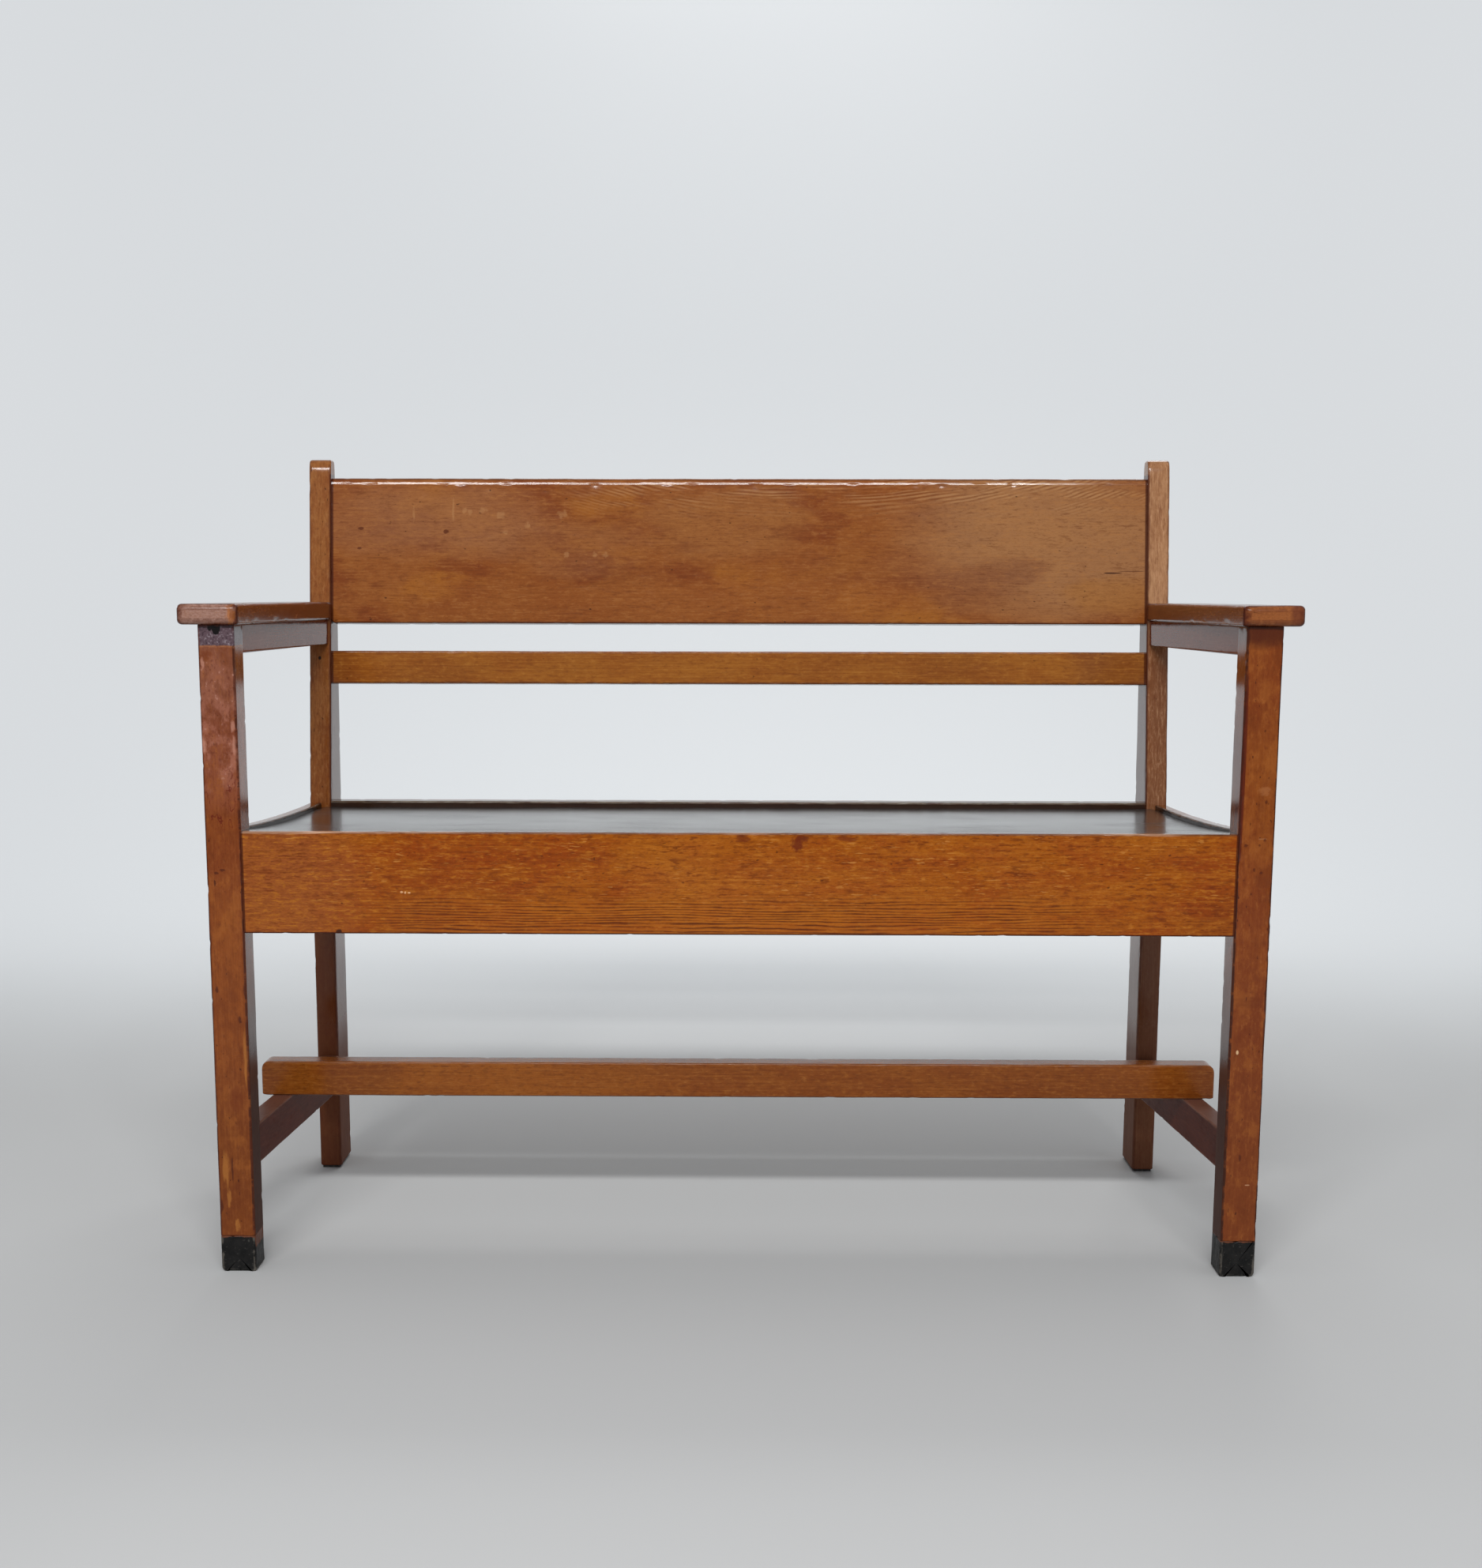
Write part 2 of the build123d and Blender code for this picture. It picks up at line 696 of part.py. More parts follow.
# Rails under the arms, from the front legs to the raked faces of the posts
for side, sign in sides:
    with BuildPart() as arm_rail:
        with BuildSketch(Plane.XY.offset(arm_rail_bottom)):
            strip(sign, arm_rail_x, front_leg_back_y, rear_y + rear_leg_depth, arm_rail_thickness)
        extrude(amount=arm_rail_height)
        extrude(behind_posts(), amount=front_width, both=True, mode=Mode.SUBTRACT)
        lower_edges = arm_rail.faces().sort_by(Axis.Z)[0].edges().sort_by(Axis.Y)[1:-1]
        fillet(lower_edges, radius=rail_arris)
        arm_rail_tenon(sign)
    finish_piece(arm_rail, f"arm_rail_{side}")

# Arms: flat boards with rounded edges, laid on the front legs and rails and butted to the posts
for side, sign in sides:
    with BuildPart() as arm:
        with BuildSketch(Plane.XY.offset(arm_bottom)):
            strip(sign, arm_x, front_y - arm_overhang, rear_y + rear_leg_depth, arm_width)
        extrude(amount=arm_thickness)
        extrude(behind_posts(), amount=front_width, both=True, mode=Mode.SUBTRACT)
        fillet(arm.edges().filter_by(Axis.Z).group_by(Axis.Y)[0], radius=arm_corner_round)
        outline = arm.faces().filter_by(Axis.Z).edges().sort_by(Axis.Y)
        fillet(outline[:-2], radius=arm_arris)
        dowel_holes(arm_dowel_planes(), arm_dowel_diameter, arm_dowel_length)
        dowel_holes(post_dowel_planes(), post_dowel_diameter, post_dowel_length)
    finish_piece(arm, f"arm_{side}")

# Back board, broad and rounded over along the top
with BuildPart() as back_board:
    with BuildSketch(rake_plane):
        rectangle_between(board_rise, board_rise + board_height, back_set_back, back_set_back + board_thickness)
    extrude(amount=rear_inner_x, both=True)
    long_edges = back_board.edges().filter_by(Axis.X).sort_by(Axis.Z)
    fillet(long_edges[-2:], radius=board_top_round)
    fillet(long_edges[:2], radius=back_arris)
    tenon_section = raked_tenon(board_rise, board_height, board_thickness)
    extrude(tenon_section, amount=rear_inner_x + back_tenon_length, both=True)
finish_piece(back_board, "back_board")

# Back slat, narrow, below the board
with BuildPart() as back_slat:
    with BuildSketch(rake_plane):
        rectangle_between(slat_rise, slat_rise + slat_height, back_set_back, back_set_back + slat_thickness)
    extrude(amount=rear_inner_x, both=True)
    fillet(back_slat.edges().filter_by(Axis.X), radius=back_arris)
    tenon_section = raked_tenon(slat_rise, slat_height, slat_thickness)
    extrude(tenon_section, amount=rear_inner_x + back_tenon_length, both=True)
finish_piece(back_slat, "back_slat")

# Side stretchers, between the front and rear legs
for side, sign in sides:
    with BuildPart() as side_stretcher:
        with BuildSketch(Plane.XY.offset(side_stretcher_rise)):
            strip(sign, stretcher_x, front_leg_back_y, rear_y, side_stretcher_thickness)
        extrude(amount=side_stretcher_height)
        long_edges = side_stretcher.faces().filter_by(Axis.Z).edges().sort_by(Axis.Y)[2:-2]
        fillet(long_edges, radius=stretcher_arris)
        side_stretcher_tenon(sign)
        screw_holes(stretcher_screw_planes(), stretcher_screw_length)
    finish_piece(side_stretcher, f"side_stretcher_{side}")

# Long stretcher, laid across the side stretchers, with its upper ends rounded
with BuildPart() as long_stretcher:
    with BuildSketch(Plane.YZ):
        rectangle_between(
            long_stretcher_y,
            long_stretcher_y + long_stretcher_depth,
            side_stretcher_top,
            side_stretcher_top + long_stretcher_height,
        )
    extrude(amount=stretcher_x(long_stretcher_middle_y) + long_stretcher_overhang, both=True)
    fillet(long_stretcher.edges().filter_by(Axis.Y).group_by(Axis.Z)[-1], radius=long_stretcher_end_round)
    fillet(long_stretcher.faces().filter_by(Axis.Y).edges(), radius=stretcher_arris)
    screw_holes(stretcher_screw_planes(), stretcher_screw_length)
finish_piece(long_stretcher, "long_stretcher")

# Dowels, one group for each kind
for name, planes, diameter, length in (
    ("foot_dowels", foot_dowel_planes(), foot_dowel_diameter, foot_dowel_length),
    ("arm_dowels", arm_dowel_planes(), arm_dowel_diameter, arm_dowel_length),
    ("post_dowels", post_dowel_planes(), post_dowel_diameter, post_dowel_length),
):
    with BuildPart() as dowel_group:
        dowels(planes, diameter, length)
    finish_piece(dowel_group, name)

# Wood screws, one group for each kind
for name, planes, length in (
    ("corner_block_screws", block_screw_planes(), block_screw_length),
    ("cleat_screws", cleat_screw_planes(), cleat_screw_length),
    ("seat_screws", seat_screw_planes(), seat_screw_length),
    ("stretcher_screws", stretcher_screw_planes(), stretcher_screw_length),
):
    with BuildPart() as screw_group:
        screws(planes, length)
    finish_piece(screw_group, name)
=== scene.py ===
import math

import bpy
import numpy as np
from mathutils import Matrix, Vector


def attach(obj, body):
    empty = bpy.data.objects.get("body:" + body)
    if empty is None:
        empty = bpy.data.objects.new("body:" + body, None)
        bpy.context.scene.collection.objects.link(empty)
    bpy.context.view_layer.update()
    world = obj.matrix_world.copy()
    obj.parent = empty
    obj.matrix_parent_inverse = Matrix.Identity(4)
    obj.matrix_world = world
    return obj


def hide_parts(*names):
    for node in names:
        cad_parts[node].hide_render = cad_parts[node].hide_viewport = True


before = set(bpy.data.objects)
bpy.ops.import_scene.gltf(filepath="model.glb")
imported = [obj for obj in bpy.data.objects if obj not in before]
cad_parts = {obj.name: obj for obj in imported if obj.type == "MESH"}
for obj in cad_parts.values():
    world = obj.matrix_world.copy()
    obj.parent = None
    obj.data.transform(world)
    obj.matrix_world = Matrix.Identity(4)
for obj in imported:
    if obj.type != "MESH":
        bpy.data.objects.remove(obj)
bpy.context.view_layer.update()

# The two front legs are square oak posts, planed, lightly eased along the arrises and varnished. Each
# stands on a black foot block and carries an arm on its top end. The left one is rubbed paler and redder
# above the seat, and its top inch is a bare, grey and bruised patch.
front_y, leg_x, leg_half, leg_arris = -0.216, 0.513, 0.018, 0.0022
leg_bottom, leg_top = 0.038, 0.661
sides = (("left", -1), ("right", 1))


def ripple(points, size, seed):
    """Smooth noise, mostly from -1 to 1: the sum of twelve sines of the points along random directions,
    with waves about size long, over 4.5."""
    draw = np.random.default_rng(seed)
    waves = draw.normal(size=(3, 12))
    waves *= 2 * np.pi / size * draw.uniform(0.6, 1.7, 12) / np.linalg.norm(waves, axis=0)
    return np.sin(points @ waves + draw.uniform(0, 2 * np.pi, 12)).sum(-1) / 4.5


def rectangle(low_a, low_b, high_a, high_b):
    """The four corners of a plain board's end."""
    return [(low_a, low_b), (high_a, low_b), (high_a, high_b), (low_a, high_b)]


def section(corners, radii, step=0.004, turns=5):
    """Outline of a board's end: straight sides between corners, each corner an arc of its radius. Gives
    the points, their outward normals and how near each is to an arris, 1 on it and 0 from 5 mm away.
    An arc point is centre + (sin((1-t)a) start + sin(ta) end) / sin(a), where a is the arc's angle."""
    corners = np.array(corners, float)
    beside, inward, arris_reach = 0.0009, 0.0024, 0.003
    starts, ends, arcs, outs, points, normals = [], [], [], [], [], []
    for corner, before, after, radius in zip(corners, np.roll(corners, 1, 0), np.roll(corners, -1, 0), radii):
        back, on = before - corner, after - corner
        back, on = back / np.linalg.norm(back), on / np.linalg.norm(on)
        inside = math.acos(np.clip(back @ on, -1, 1))
        reach, angle = radius / math.tan(inside / 2), math.pi - inside
        middle = back + on
        centre = corner + middle / np.linalg.norm(middle) * radius / math.sin(inside / 2)
        starts.append(corner + back * reach)
        ends.append(corner + on * reach)
        t = np.linspace(0, 1, turns)[:, None]
        spokes = np.sin((1 - t) * angle) * (starts[-1] - centre) + np.sin(t * angle) * (ends[-1] - centre)
        spokes /= math.sin(angle)
        hollow = back[0] * on[1] - back[1] * on[0] > 0
        arcs.append(centre + spokes)
        outs.append((-spokes if hollow else spokes) / radius)
    for arc, out, a, b in zip(arcs, outs, ends, starts[1:] + starts[:1]):
        length = np.linalg.norm(b - a)
        along = (b - a) / length
        parts = max(2, round((length - 0.004) / step))
        inner = inward + np.arange(1, parts) / parts * (length - 2 * inward)
        places = np.array([beside, inward, *inner, length - inward, length - beside])
        places = places[(0 < places) & (places < length)]
        points += [arc, a + places[:, None] * along]
        normals += [out, np.tile([along[1], -along[0]], (len(places), 1))]
    points, normals = np.concatenate(points), np.concatenate(normals)
    gap = np.linalg.norm(points[:, None] - corners[None], axis=2) - 0.4 * np.array(radii)
    return points, normals, np.exp(-((np.maximum(gap.min(1), 0) / arris_reach) ** 2))


def stations(length, step, first=0.0015, last=0.0015):
    """Places along a board, and how far its ends are eased there: an end of radius r is set in by
    r - sqrt(r^2 - (r - s)^2) at a distance s from it."""
    turn = 1 - np.cos(np.linspace(0, np.pi / 2, 6))
    middle = np.linspace(first + step / 2, length - last - step / 2, max(3, int(length / step)))
    places = np.concatenate([first * turn, middle, length - last * turn[::-1]])
    start = np.clip(first - places, 0, first)
    end = np.clip(last - (length - places), 0, last)
    return places, first - np.sqrt(first**2 - start**2), last - np.sqrt(last**2 - end**2)


def spread(outline, half_a, half_b, grow_a, grow_b):
    """The outline at each station, as one array of a and one of b, with its sides moved by grow_a and
    grow_b while its corners keep their radius: a' = a + clip(a / half_a, -1, 1) grow_a, and b likewise."""
    return [side + np.clip(side / half, -1, 1) * grow[:, None]
            for side, half, grow in zip(outline.T, (half_a, half_b), (grow_a, grow_b))]


def grid_of(*parts):
    """A grid of points from their parts, each spread over the whole grid."""
    return np.stack(np.broadcast_arrays(*parts), -1)


def skin(rows, columns):
    """Four-sided faces between the rows of a closed outline's points, which are numbered row by row."""
    index = np.arange(rows * columns).reshape(rows, columns)
    turned = np.roll(index, -1, 1)
    return np.stack([index[:-1], turned[:-1], turned[1:], index[1:]], -1).reshape(-1, 4)


def carve(name, points, normals, arris, grain, along, seed, hollow=0.00012, knocks=0.0006):
    """Makes a worn wooden piece from a grid of points, stations by outline. Each point sinks along its
    normal by hollow times a broad ripple squared, by up to a quarter of knocks in a ripple along the
    arrises, and by knocks where a short ripple peaks there. Both ends are closed by two rings and a
    middle point, and count as arrises too, by exp(-(distance / 3 mm)^2)."""
    end_reach = 0.003
    normals = np.broadcast_to(normals, points.shape)
    from_ends = np.minimum((points - points[:1]) @ along, (points[-1:] - points) @ along).clip(0)
    arris = np.maximum(arris, np.exp(-((from_ends / end_reach) ** 2)))
    depth = hollow * ripple(points, 0.11, seed) ** 2
    depth += arris * knocks / 4 * (0.5 + 0.5 * ripple(points, 0.05, seed + 1)).clip(0, 1)
    depth += arris * knocks * ((ripple(points, 0.011, seed + 2) - 0.72).clip(0, 0.3) / 0.3)
    grid = points - normals * depth[..., None]
    rows, columns = grid.shape[:2]

    def ring_in(end, share):
        return end.mean(1, keepdims=True) * (1 - share) + end * share

    def closed(values, near=0.93, far=0.5):
        first, last = values[:1], values[-1:]
        return with_middles(np.concatenate([ring_in(first, far), ring_in(first, near), values,
                                            ring_in(last, near), ring_in(last, far)]))

    def with_middles(values):
        return np.concatenate([values.reshape(-1, values.shape[-1]), values[[0, -1]].mean(1)])

    offset = np.random.default_rng(seed).uniform(-9, 9, 3)
    arris = arris[..., None]
    faded = np.concatenate([arris[:1] * 0, arris[:1] * 0.3, arris, arris[-1:] * 0.3, arris[-1:] * 0])
    quads = skin(rows + 4, columns)
    ring, middle = np.arange(columns), (rows + 4) * columns
    end_ring = ring + middle - columns
    first_fan = np.stack([np.full(columns, middle), np.roll(ring, -1), ring], 1)
    last_fan = np.stack([np.full(columns, middle + 1), end_ring, np.roll(end_ring, -1)], 1)
    sample = (rows + 4) // 2 - 2
    if np.dot(np.cross(points[sample, 1] - points[sample, 0], along), normals[sample, 0]) < 0:
        quads, first_fan, last_fan = quads[:, ::-1], first_fan[:, ::-1], last_fan[:, ::-1]
    faces = quads.tolist() + first_fan.tolist() + last_fan.tolist()
    return finish_mesh(name, closed(grid), faces, closed(grain + offset), with_middles(faded))


def smooth_mesh(name, coordinates, faces):
    """A mesh of these points and faces, shaded smooth."""
    mesh = bpy.data.meshes.new(name)
    mesh.from_pydata(coordinates.tolist(), [], faces)
    mesh.polygons.foreach_set("use_smooth", [True] * len(mesh.polygons))
    return mesh


def stand_up(name, data):
    """Puts a mesh, a lamp or the camera into the scene."""
    stood = bpy.data.objects.new(name, data)
    bpy.context.scene.collection.objects.link(stood)
    return stood


def finish_mesh(name, coordinates, faces, grain, arris):
    """Turns the arrays into a piece that carries the grain and arris values for its finish."""
    coordinates[:, 2] = coordinates[:, 2].clip(0)
    mesh = smooth_mesh(name, coordinates, faces)
    mesh.attributes.new("grain", "FLOAT_VECTOR", "POINT").data.foreach_set("vector", grain.ravel())
    mesh.attributes.new("arris", "FLOAT", "POINT").data.foreach_set("value", arris.ravel())
    mesh.update()
    return stand_up(name, mesh)


def place(piece, finish, slot, *nodes):
    """Finishes a piece, rides it on the bench and lets it stand for its CAD nodes."""
    piece.data.materials.append(finish)
    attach(piece, "root")
    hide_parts(*nodes)


def stain(colour):
    """A colour given in 0 to 255 as the eye sees it, in the linear values that a shader takes."""
    return tuple(((c / 255 + 0.055) / 1.055) ** 2.4 for c in colour)


class Shade:
    """A value, colour or vector on its way through a finish, so that its sums read as plain maths."""

    def __init__(self, tree, socket=None):
        self.tree, self.socket = tree, socket

    def make(self, kind, inputs=None, output=0, **settings):
        """Any node: its kind, the values or links of its inputs, and its settings, which are set first.
        A colour of three numbers is a stain; one of four is taken as it is."""
        node = self.tree.nodes.new("ShaderNode" + kind)
        for key, value in settings.items():
            setattr(node, key, value)
        for key, value in (inputs or {}).items():
            socket = node.inputs[key]
            if isinstance(value, Shade):
                self.tree.links.new(value.socket, socket)
            elif socket.type == "RGBA" and len(value) == 3:
                socket.default_value = (*stain(value), 1)
            else:
                socket.default_value = value
        return Shade(self.tree, node.outputs[output] if node.outputs else None)

    def sum(self, operation, *values):
        return self.make("Math", dict(enumerate(values)), operation=operation)

    def __add__(self, other):
        return self.sum("ADD", self, other)

    def __sub__(self, other):
        return self.sum("SUBTRACT", self, other)

    def __rsub__(self, other):
        return self.sum("SUBTRACT", other, self)

    def __mul__(self, other):
        return self.sum("MULTIPLY", self, other)

    def __pow__(self, other):
        return self.sum("POWER", self, other)

    __radd__ = __add__
    __rmul__ = __mul__

    def far(self):
        return self.sum("ABSOLUTE", self)

    def wave(self):
        return self.sum("SINE", self)

    def most(self, other):
        return self.sum("MAXIMUM", self, other)

    def rise(self, low, high):
        """0 below low, 1 above high, and a soft step between; falls instead if low is above high."""
        inputs = {"Value": self, "From Min": low, "From Max": high}
        return self.make("MapRange", inputs, interpolation_type="SMOOTHSTEP")

    def parts(self):
        node = self.make("SeparateXYZ", {0: self}).socket.node
        return [Shade(self.tree, socket) for socket in node.outputs]

    def cloud(self, x, y, z, detail=3.0, roughness=0.6):
        """Noise with x, y and z lumps to the metre, about 0.25 to 0.75."""
        scaled = self.make("VectorMath", {0: self, 1: (x, y, z)}, operation="MULTIPLY")
        inputs = {"Vector": scaled, "Scale": 1.0, "Detail": detail, "Roughness": roughness, "Distortion": 0.0}
        return self.make("TexNoise", inputs)

    def between(self, low, high):
        """The colour low where this value is 0, high where it is 1, and their mixtures between."""
        return self.make("Mix", {0: self, 6: low, 7: high}, output=2, data_type="RGBA")

    def over(self, *layers):
        """This colour with others laid over it in turn, each given as a colour and then its amount."""
        laid = self
        for colour, amount in zip(layers[::2], layers[1::2]):
            laid = amount.between(laid, colour)
        return laid

    def marked(self, marks, at):
        """This colour with marks on it, each a function of the colour under it and of the place at."""
        colour = self
        for mark in marks:
            colour = mark(colour, at)
        return colour

    def relief(self, strength, distance):
        """The normals of a surface that stands this high."""
        return self.make("Bump", {"Strength": strength, "Distance": distance, "Height": self})


def new_finish(name):
    """An empty finish, and the place on the bench that its maths starts from."""
    finish = bpy.data.materials.new(name)
    finish.use_nodes = True
    finish.node_tree.nodes.clear()
    return finish, Shade(finish.node_tree).make("TexCoord", output="Object")


def finished(finish, inputs):
    """Ends a finish with its surface shader, and gives the finish back."""
    start = Shade(finish.node_tree)
    start.make("OutputMaterial", {"Surface": start.make("BsdfPrincipled", inputs)})
    return finish


def oak(name, ground, deep, light, ruddy, dashes=0.6, lines=0.3, mottle=0.6, specks=0.5, rim=None,
        rim_share=0.5, gloss=0.12, ior=1.33, relief=0.14, dull_below=-1.0, washes=(), marks=()):
    """Old varnished oak. The ground is clouded with a ruddy tone and laid over with broad washes, then
    drawn over with short dark pores and light flecks along the grain, long hair lines, uneven varnish
    and a few dark specks. washes and marks are functions of the colour under them and the place at,
    that lay local colours under the grain and over it. Last comes the rim colour along the arrises.
    Below a height the varnish can be dull."""
    finish, at = new_finish(name)
    grain = at.make("Attribute", output="Vector", attribute_name="grain")
    arris = at.make("Attribute", output="Fac", attribute_name="arris")
    cloudy = grain.cloud(16, 34, 34, 5.0, 0.62)
    broad = grain.cloud(3.5, 8, 8, 2.0, 0.5)
    pore = grain.cloud(85, 430, 430)
    fine = grain.cloud(240, 1100, 1100, 2.0, 0.6)
    hair = grain.cloud(9, 520, 520)
    grit = grain.cloud(130, 210, 210, 4.0, 0.66)
    many = grain.cloud(16, 60, 60).rise(0.35, 0.65)
    speck = grain.cloud(170, 300, 300, 1.0, 0.5).rise(0.74, 0.82)
    scuff = grain.cloud(55, 130, 130)
    colour = (cloudy.rise(0.38, 0.62) * mottle).between(ground, ruddy).over(
        deep, broad.rise(0.5, 0.72) * mottle * 0.5,
        light, broad.rise(0.5, 0.28) * mottle * 0.5)
    colour = colour.marked(washes, at).over(
        light, grit.rise(0.52, 0.74) * mottle * 0.8,
        deep, grit.rise(0.48, 0.26) * mottle * 0.7,
        light, pore.rise(0.46, 0.33) * (1 - many * 0.6) * dashes,
        deep, pore.rise(0.52, 0.65) * (many * 0.7 + 0.3) * dashes,
        deep, fine.rise(0.53, 0.68) * dashes * 0.6,
        deep, hair.rise(0.5, 0.7) * lines,
        light, hair.rise(0.48, 0.3) * lines,
        (*(c * 0.35 for c in stain(deep)), 1), speck * specks)
    colour = colour.marked(marks, at)
    if rim:
        colour = colour.over(rim, (arris + (scuff - 0.5) * 1.4).rise(0.7, 1.03) * rim_share)
    dull = at.parts()[2].rise(dull_below + 0.06, dull_below - 0.06) * 0.5
    roughness = broad.rise(0.3, 0.8) * 0.05 + scuff.rise(0.5, 0.75) * 0.06 + gloss + dull
    height = pore * -0.5 + hair * -0.3 + scuff * 0.3 + cloudy * 0.6
    return finished(finish, {"Base Color": colour, "Roughness": roughness, "IOR": ior,
                             "Normal": height.relief(relief, 0.0005)})


def blotch(x, z, wide, high, colour, amount, ragged=0.6, soft=0.5):
    """A mark on a face seen from the front, in millimetres: an oval about x and z, ragged by noise of its
    own size, that fades in over a share of its reach."""
    def lay(under, at):
        px, _, pz = at.parts()
        edge = (at.cloud(900 / wide, 900 / wide, 900 / high, 4.0, 0.6) - 0.5) * ragged * 5
        reach = ((px - x / 1000) * (1000 / wide)) ** 2 + ((pz - z / 1000) * (1000 / high)) ** 2 + edge
        return under.over(colour, reach.rise(1 + soft, 1 - soft) * amount)
    return lay


def blotches(*rows):
    """Several blotches, each given by x, z, wide, high, colour, amount and, if need be, ragged and soft."""
    return [blotch(*row) for row in rows]


def alike(colour, amount, ragged, soft, *rows):
    """Blotches of one kind, each given by x, z, wide and high."""
    return [blotch(*row, colour, amount, ragged, soft) for row in rows]


def seam(axis, at_place, width, colour, amount, low=-9.0, high=9.0, cross=2):
    """A dark line where two boards meet: the points within width of a place on one axis, between two
    bounds on the axis cross."""
    def lay(under, at):
        parts = at.parts()
        near = (parts[axis].far() - at_place).far().rise(width * 1.4, width * 0.5)
        inside = parts[cross].rise(low - 0.001, low + 0.001) * parts[cross].rise(high + 0.001, high - 0.001)
        return under.over(colour, near * inside * amount)
    return lay


old_seam, dark_rim = (62, 20, 6), (84, 34, 14)
leg_joint = seam(0, 0.4957, 0.001, old_seam, 0.75, 0.354, 0.457)


def rubbed_leg(under, at):
    """The left leg between arm and seat: a pink rubbed wash in soft patches, with small pale and dark
    flecks all over it, and lower down a few thin red cracks, where a noise crosses its middle value."""
    z = at.parts()[2]
    patch = at.cloud(55, 55, 40, 4.0, 0.6)
    fleck = at.cloud(330, 330, 210)
    where = z.rise(0.48, 0.53) * z.rise(0.648, 0.62)
    cracked = z.rise(0.452, 0.47) * z.rise(0.53, 0.505) * patch.rise(0.44, 0.54)
    return under.over(
        (160, 102, 82), patch.rise(0.44, 0.6) * where * (z.rise(0.6, 0.56) * 0.4 + 0.3),
        (184, 136, 118), fleck.rise(0.58, 0.72) * (patch.rise(0.38, 0.62) * 0.8 + 0.1) * where * 0.7,
        (96, 44, 28), fleck.rise(0.44, 0.3) * where * 0.6,
        (92, 24, 8), (at.cloud(48, 48, 30) - 0.5).far().rise(0.014, 0.003) * cracked * 0.85)


def bruised_top(under, at):
    """The left leg's top inch: bare speckled grey wood under a pale torn line, with a black notch."""
    x, _, z = at.parts()
    torn = z + (at.cloud(110, 110, 110) - 0.5) * 0.004
    bare = torn.rise(0.6405, 0.6412)
    speckle = at.cloud(420, 420, 420, 3.0, 0.65)
    notch = ((x + 0.5125) * (1 / 0.0045)) ** 2 + ((z - 0.6595) * (1 / 0.0085)) ** 2 + (speckle - 0.5) * 0.8
    return under.over(
        (196, 140, 96), torn.rise(0.6385, 0.6395) * (speckle * 1.4 - 0.35) * 0.5,
        (84, 68, 76), bare * 0.96,
        (140, 128, 134), speckle.rise(0.52, 0.7) * bare * 0.8,
        (42, 30, 36), speckle.rise(0.46, 0.3) * bare * 0.8,
        (52, 36, 40), torn.rise(0.655, 0.6595) * 0.6,
        (14, 10, 10), notch.rise(1.1, 0.9))


def handled_leg_with_painted_shade(under, at):
    """Both front legs: orange and brown patches a finger wide, small dark nicks, old varnish gathered in
    broken dark lines along the front arrises, and painted shade that darkens the inner faces below the seat."""
    x, y, z = at.parts()
    patch = at.cloud(48, 48, 30, 5.0, 0.66)
    broken = at.cloud(40, 40, 110, 3.0, 0.7).rise(0.4, 0.5)
    lines = (x.far() - 0.4962).far().rise(0.0014, 0.0004).most(x.far().rise(0.5288, 0.5303))
    return under.over(
        (98, 42, 8), patch.rise(0.5, 0.66) * 0.45,
        (162, 94, 36), patch.rise(0.48, 0.34) * 0.32,
        (62, 22, 6), at.cloud(240, 240, 120, 2.0, 0.5).rise(0.69, 0.75) * 0.8,
        # painted shade: the inner faces grow dark below the seat, as if in shadow
        (52, 24, 14), x.far().rise(0.4972, 0.4957) * y.rise(-0.2155, -0.2135) * z.rise(0.36, 0.22) * 0.85,
        (44, 18, 8), lines * broken * y.rise(-0.2125, -0.2145) * 0.85)


left_leg_finish = oak(
    "left_leg_oak", (126, 62, 20), (92, 38, 10), (144, 82, 38), (116, 52, 16), dashes=0.35, lines=0.25,
    rim=dark_rim, rim_share=0.6, gloss=0.16, dull_below=0.2,
    washes=blotches(
        (-513, 600, 30, 70, (124, 74, 54), 0.85, 0.3, 0.8),
        (-513, 530, 30, 50, (128, 68, 46), 0.8, 0.3, 0.8),
        (-513, 100, 50, 110, (116, 58, 12), 0.7, 0.3, 0.8),
        (-514, 300, 20, 90, (140, 74, 22), 0.5, 0.6, 0.8)),
    marks=[
        handled_leg_with_painted_shade,
        rubbed_leg,
        *alike(
            (188, 134, 114), 0.55, 0.9, 0.8,
            (-529, 544, 3, 7), (-499.3, 561.6, 2, 5), (-498.5, 543, 2, 8), (-527, 623.6, 1.6, 5)),
        *alike(
            (178, 114, 50), 0.5, 1.2, 0.9,
            (-523, 111, 3, 17), (-513, 49.6, 2.5, 6), (-498.5, 228, 1.8, 26), (-520.5, 78, 2, 8)),
        *alike(
            (70, 26, 8), 0.75, 0.7, 0.6,
            (-496.8, 296, 1.6, 6), (-503, 265, 1.3, 4), (-525, 296, 1.6, 3), (-516.2, 110, 1, 13),
            (-529, 69, 2, 6), (-521, 415, 2.2, 1.4), (-515, 418, 3, 1.2)),
        *alike((106, 44, 10), 0.5, 0.9, 0.8, (-508, 182, 7, 10), (-523.5, 630, 6, 5)),
        bruised_top,
        blotch(-518.6, 658.5, 2.2, 3.5, (18, 12, 12), 1.0, 0.15, 0.2),
        leg_joint])
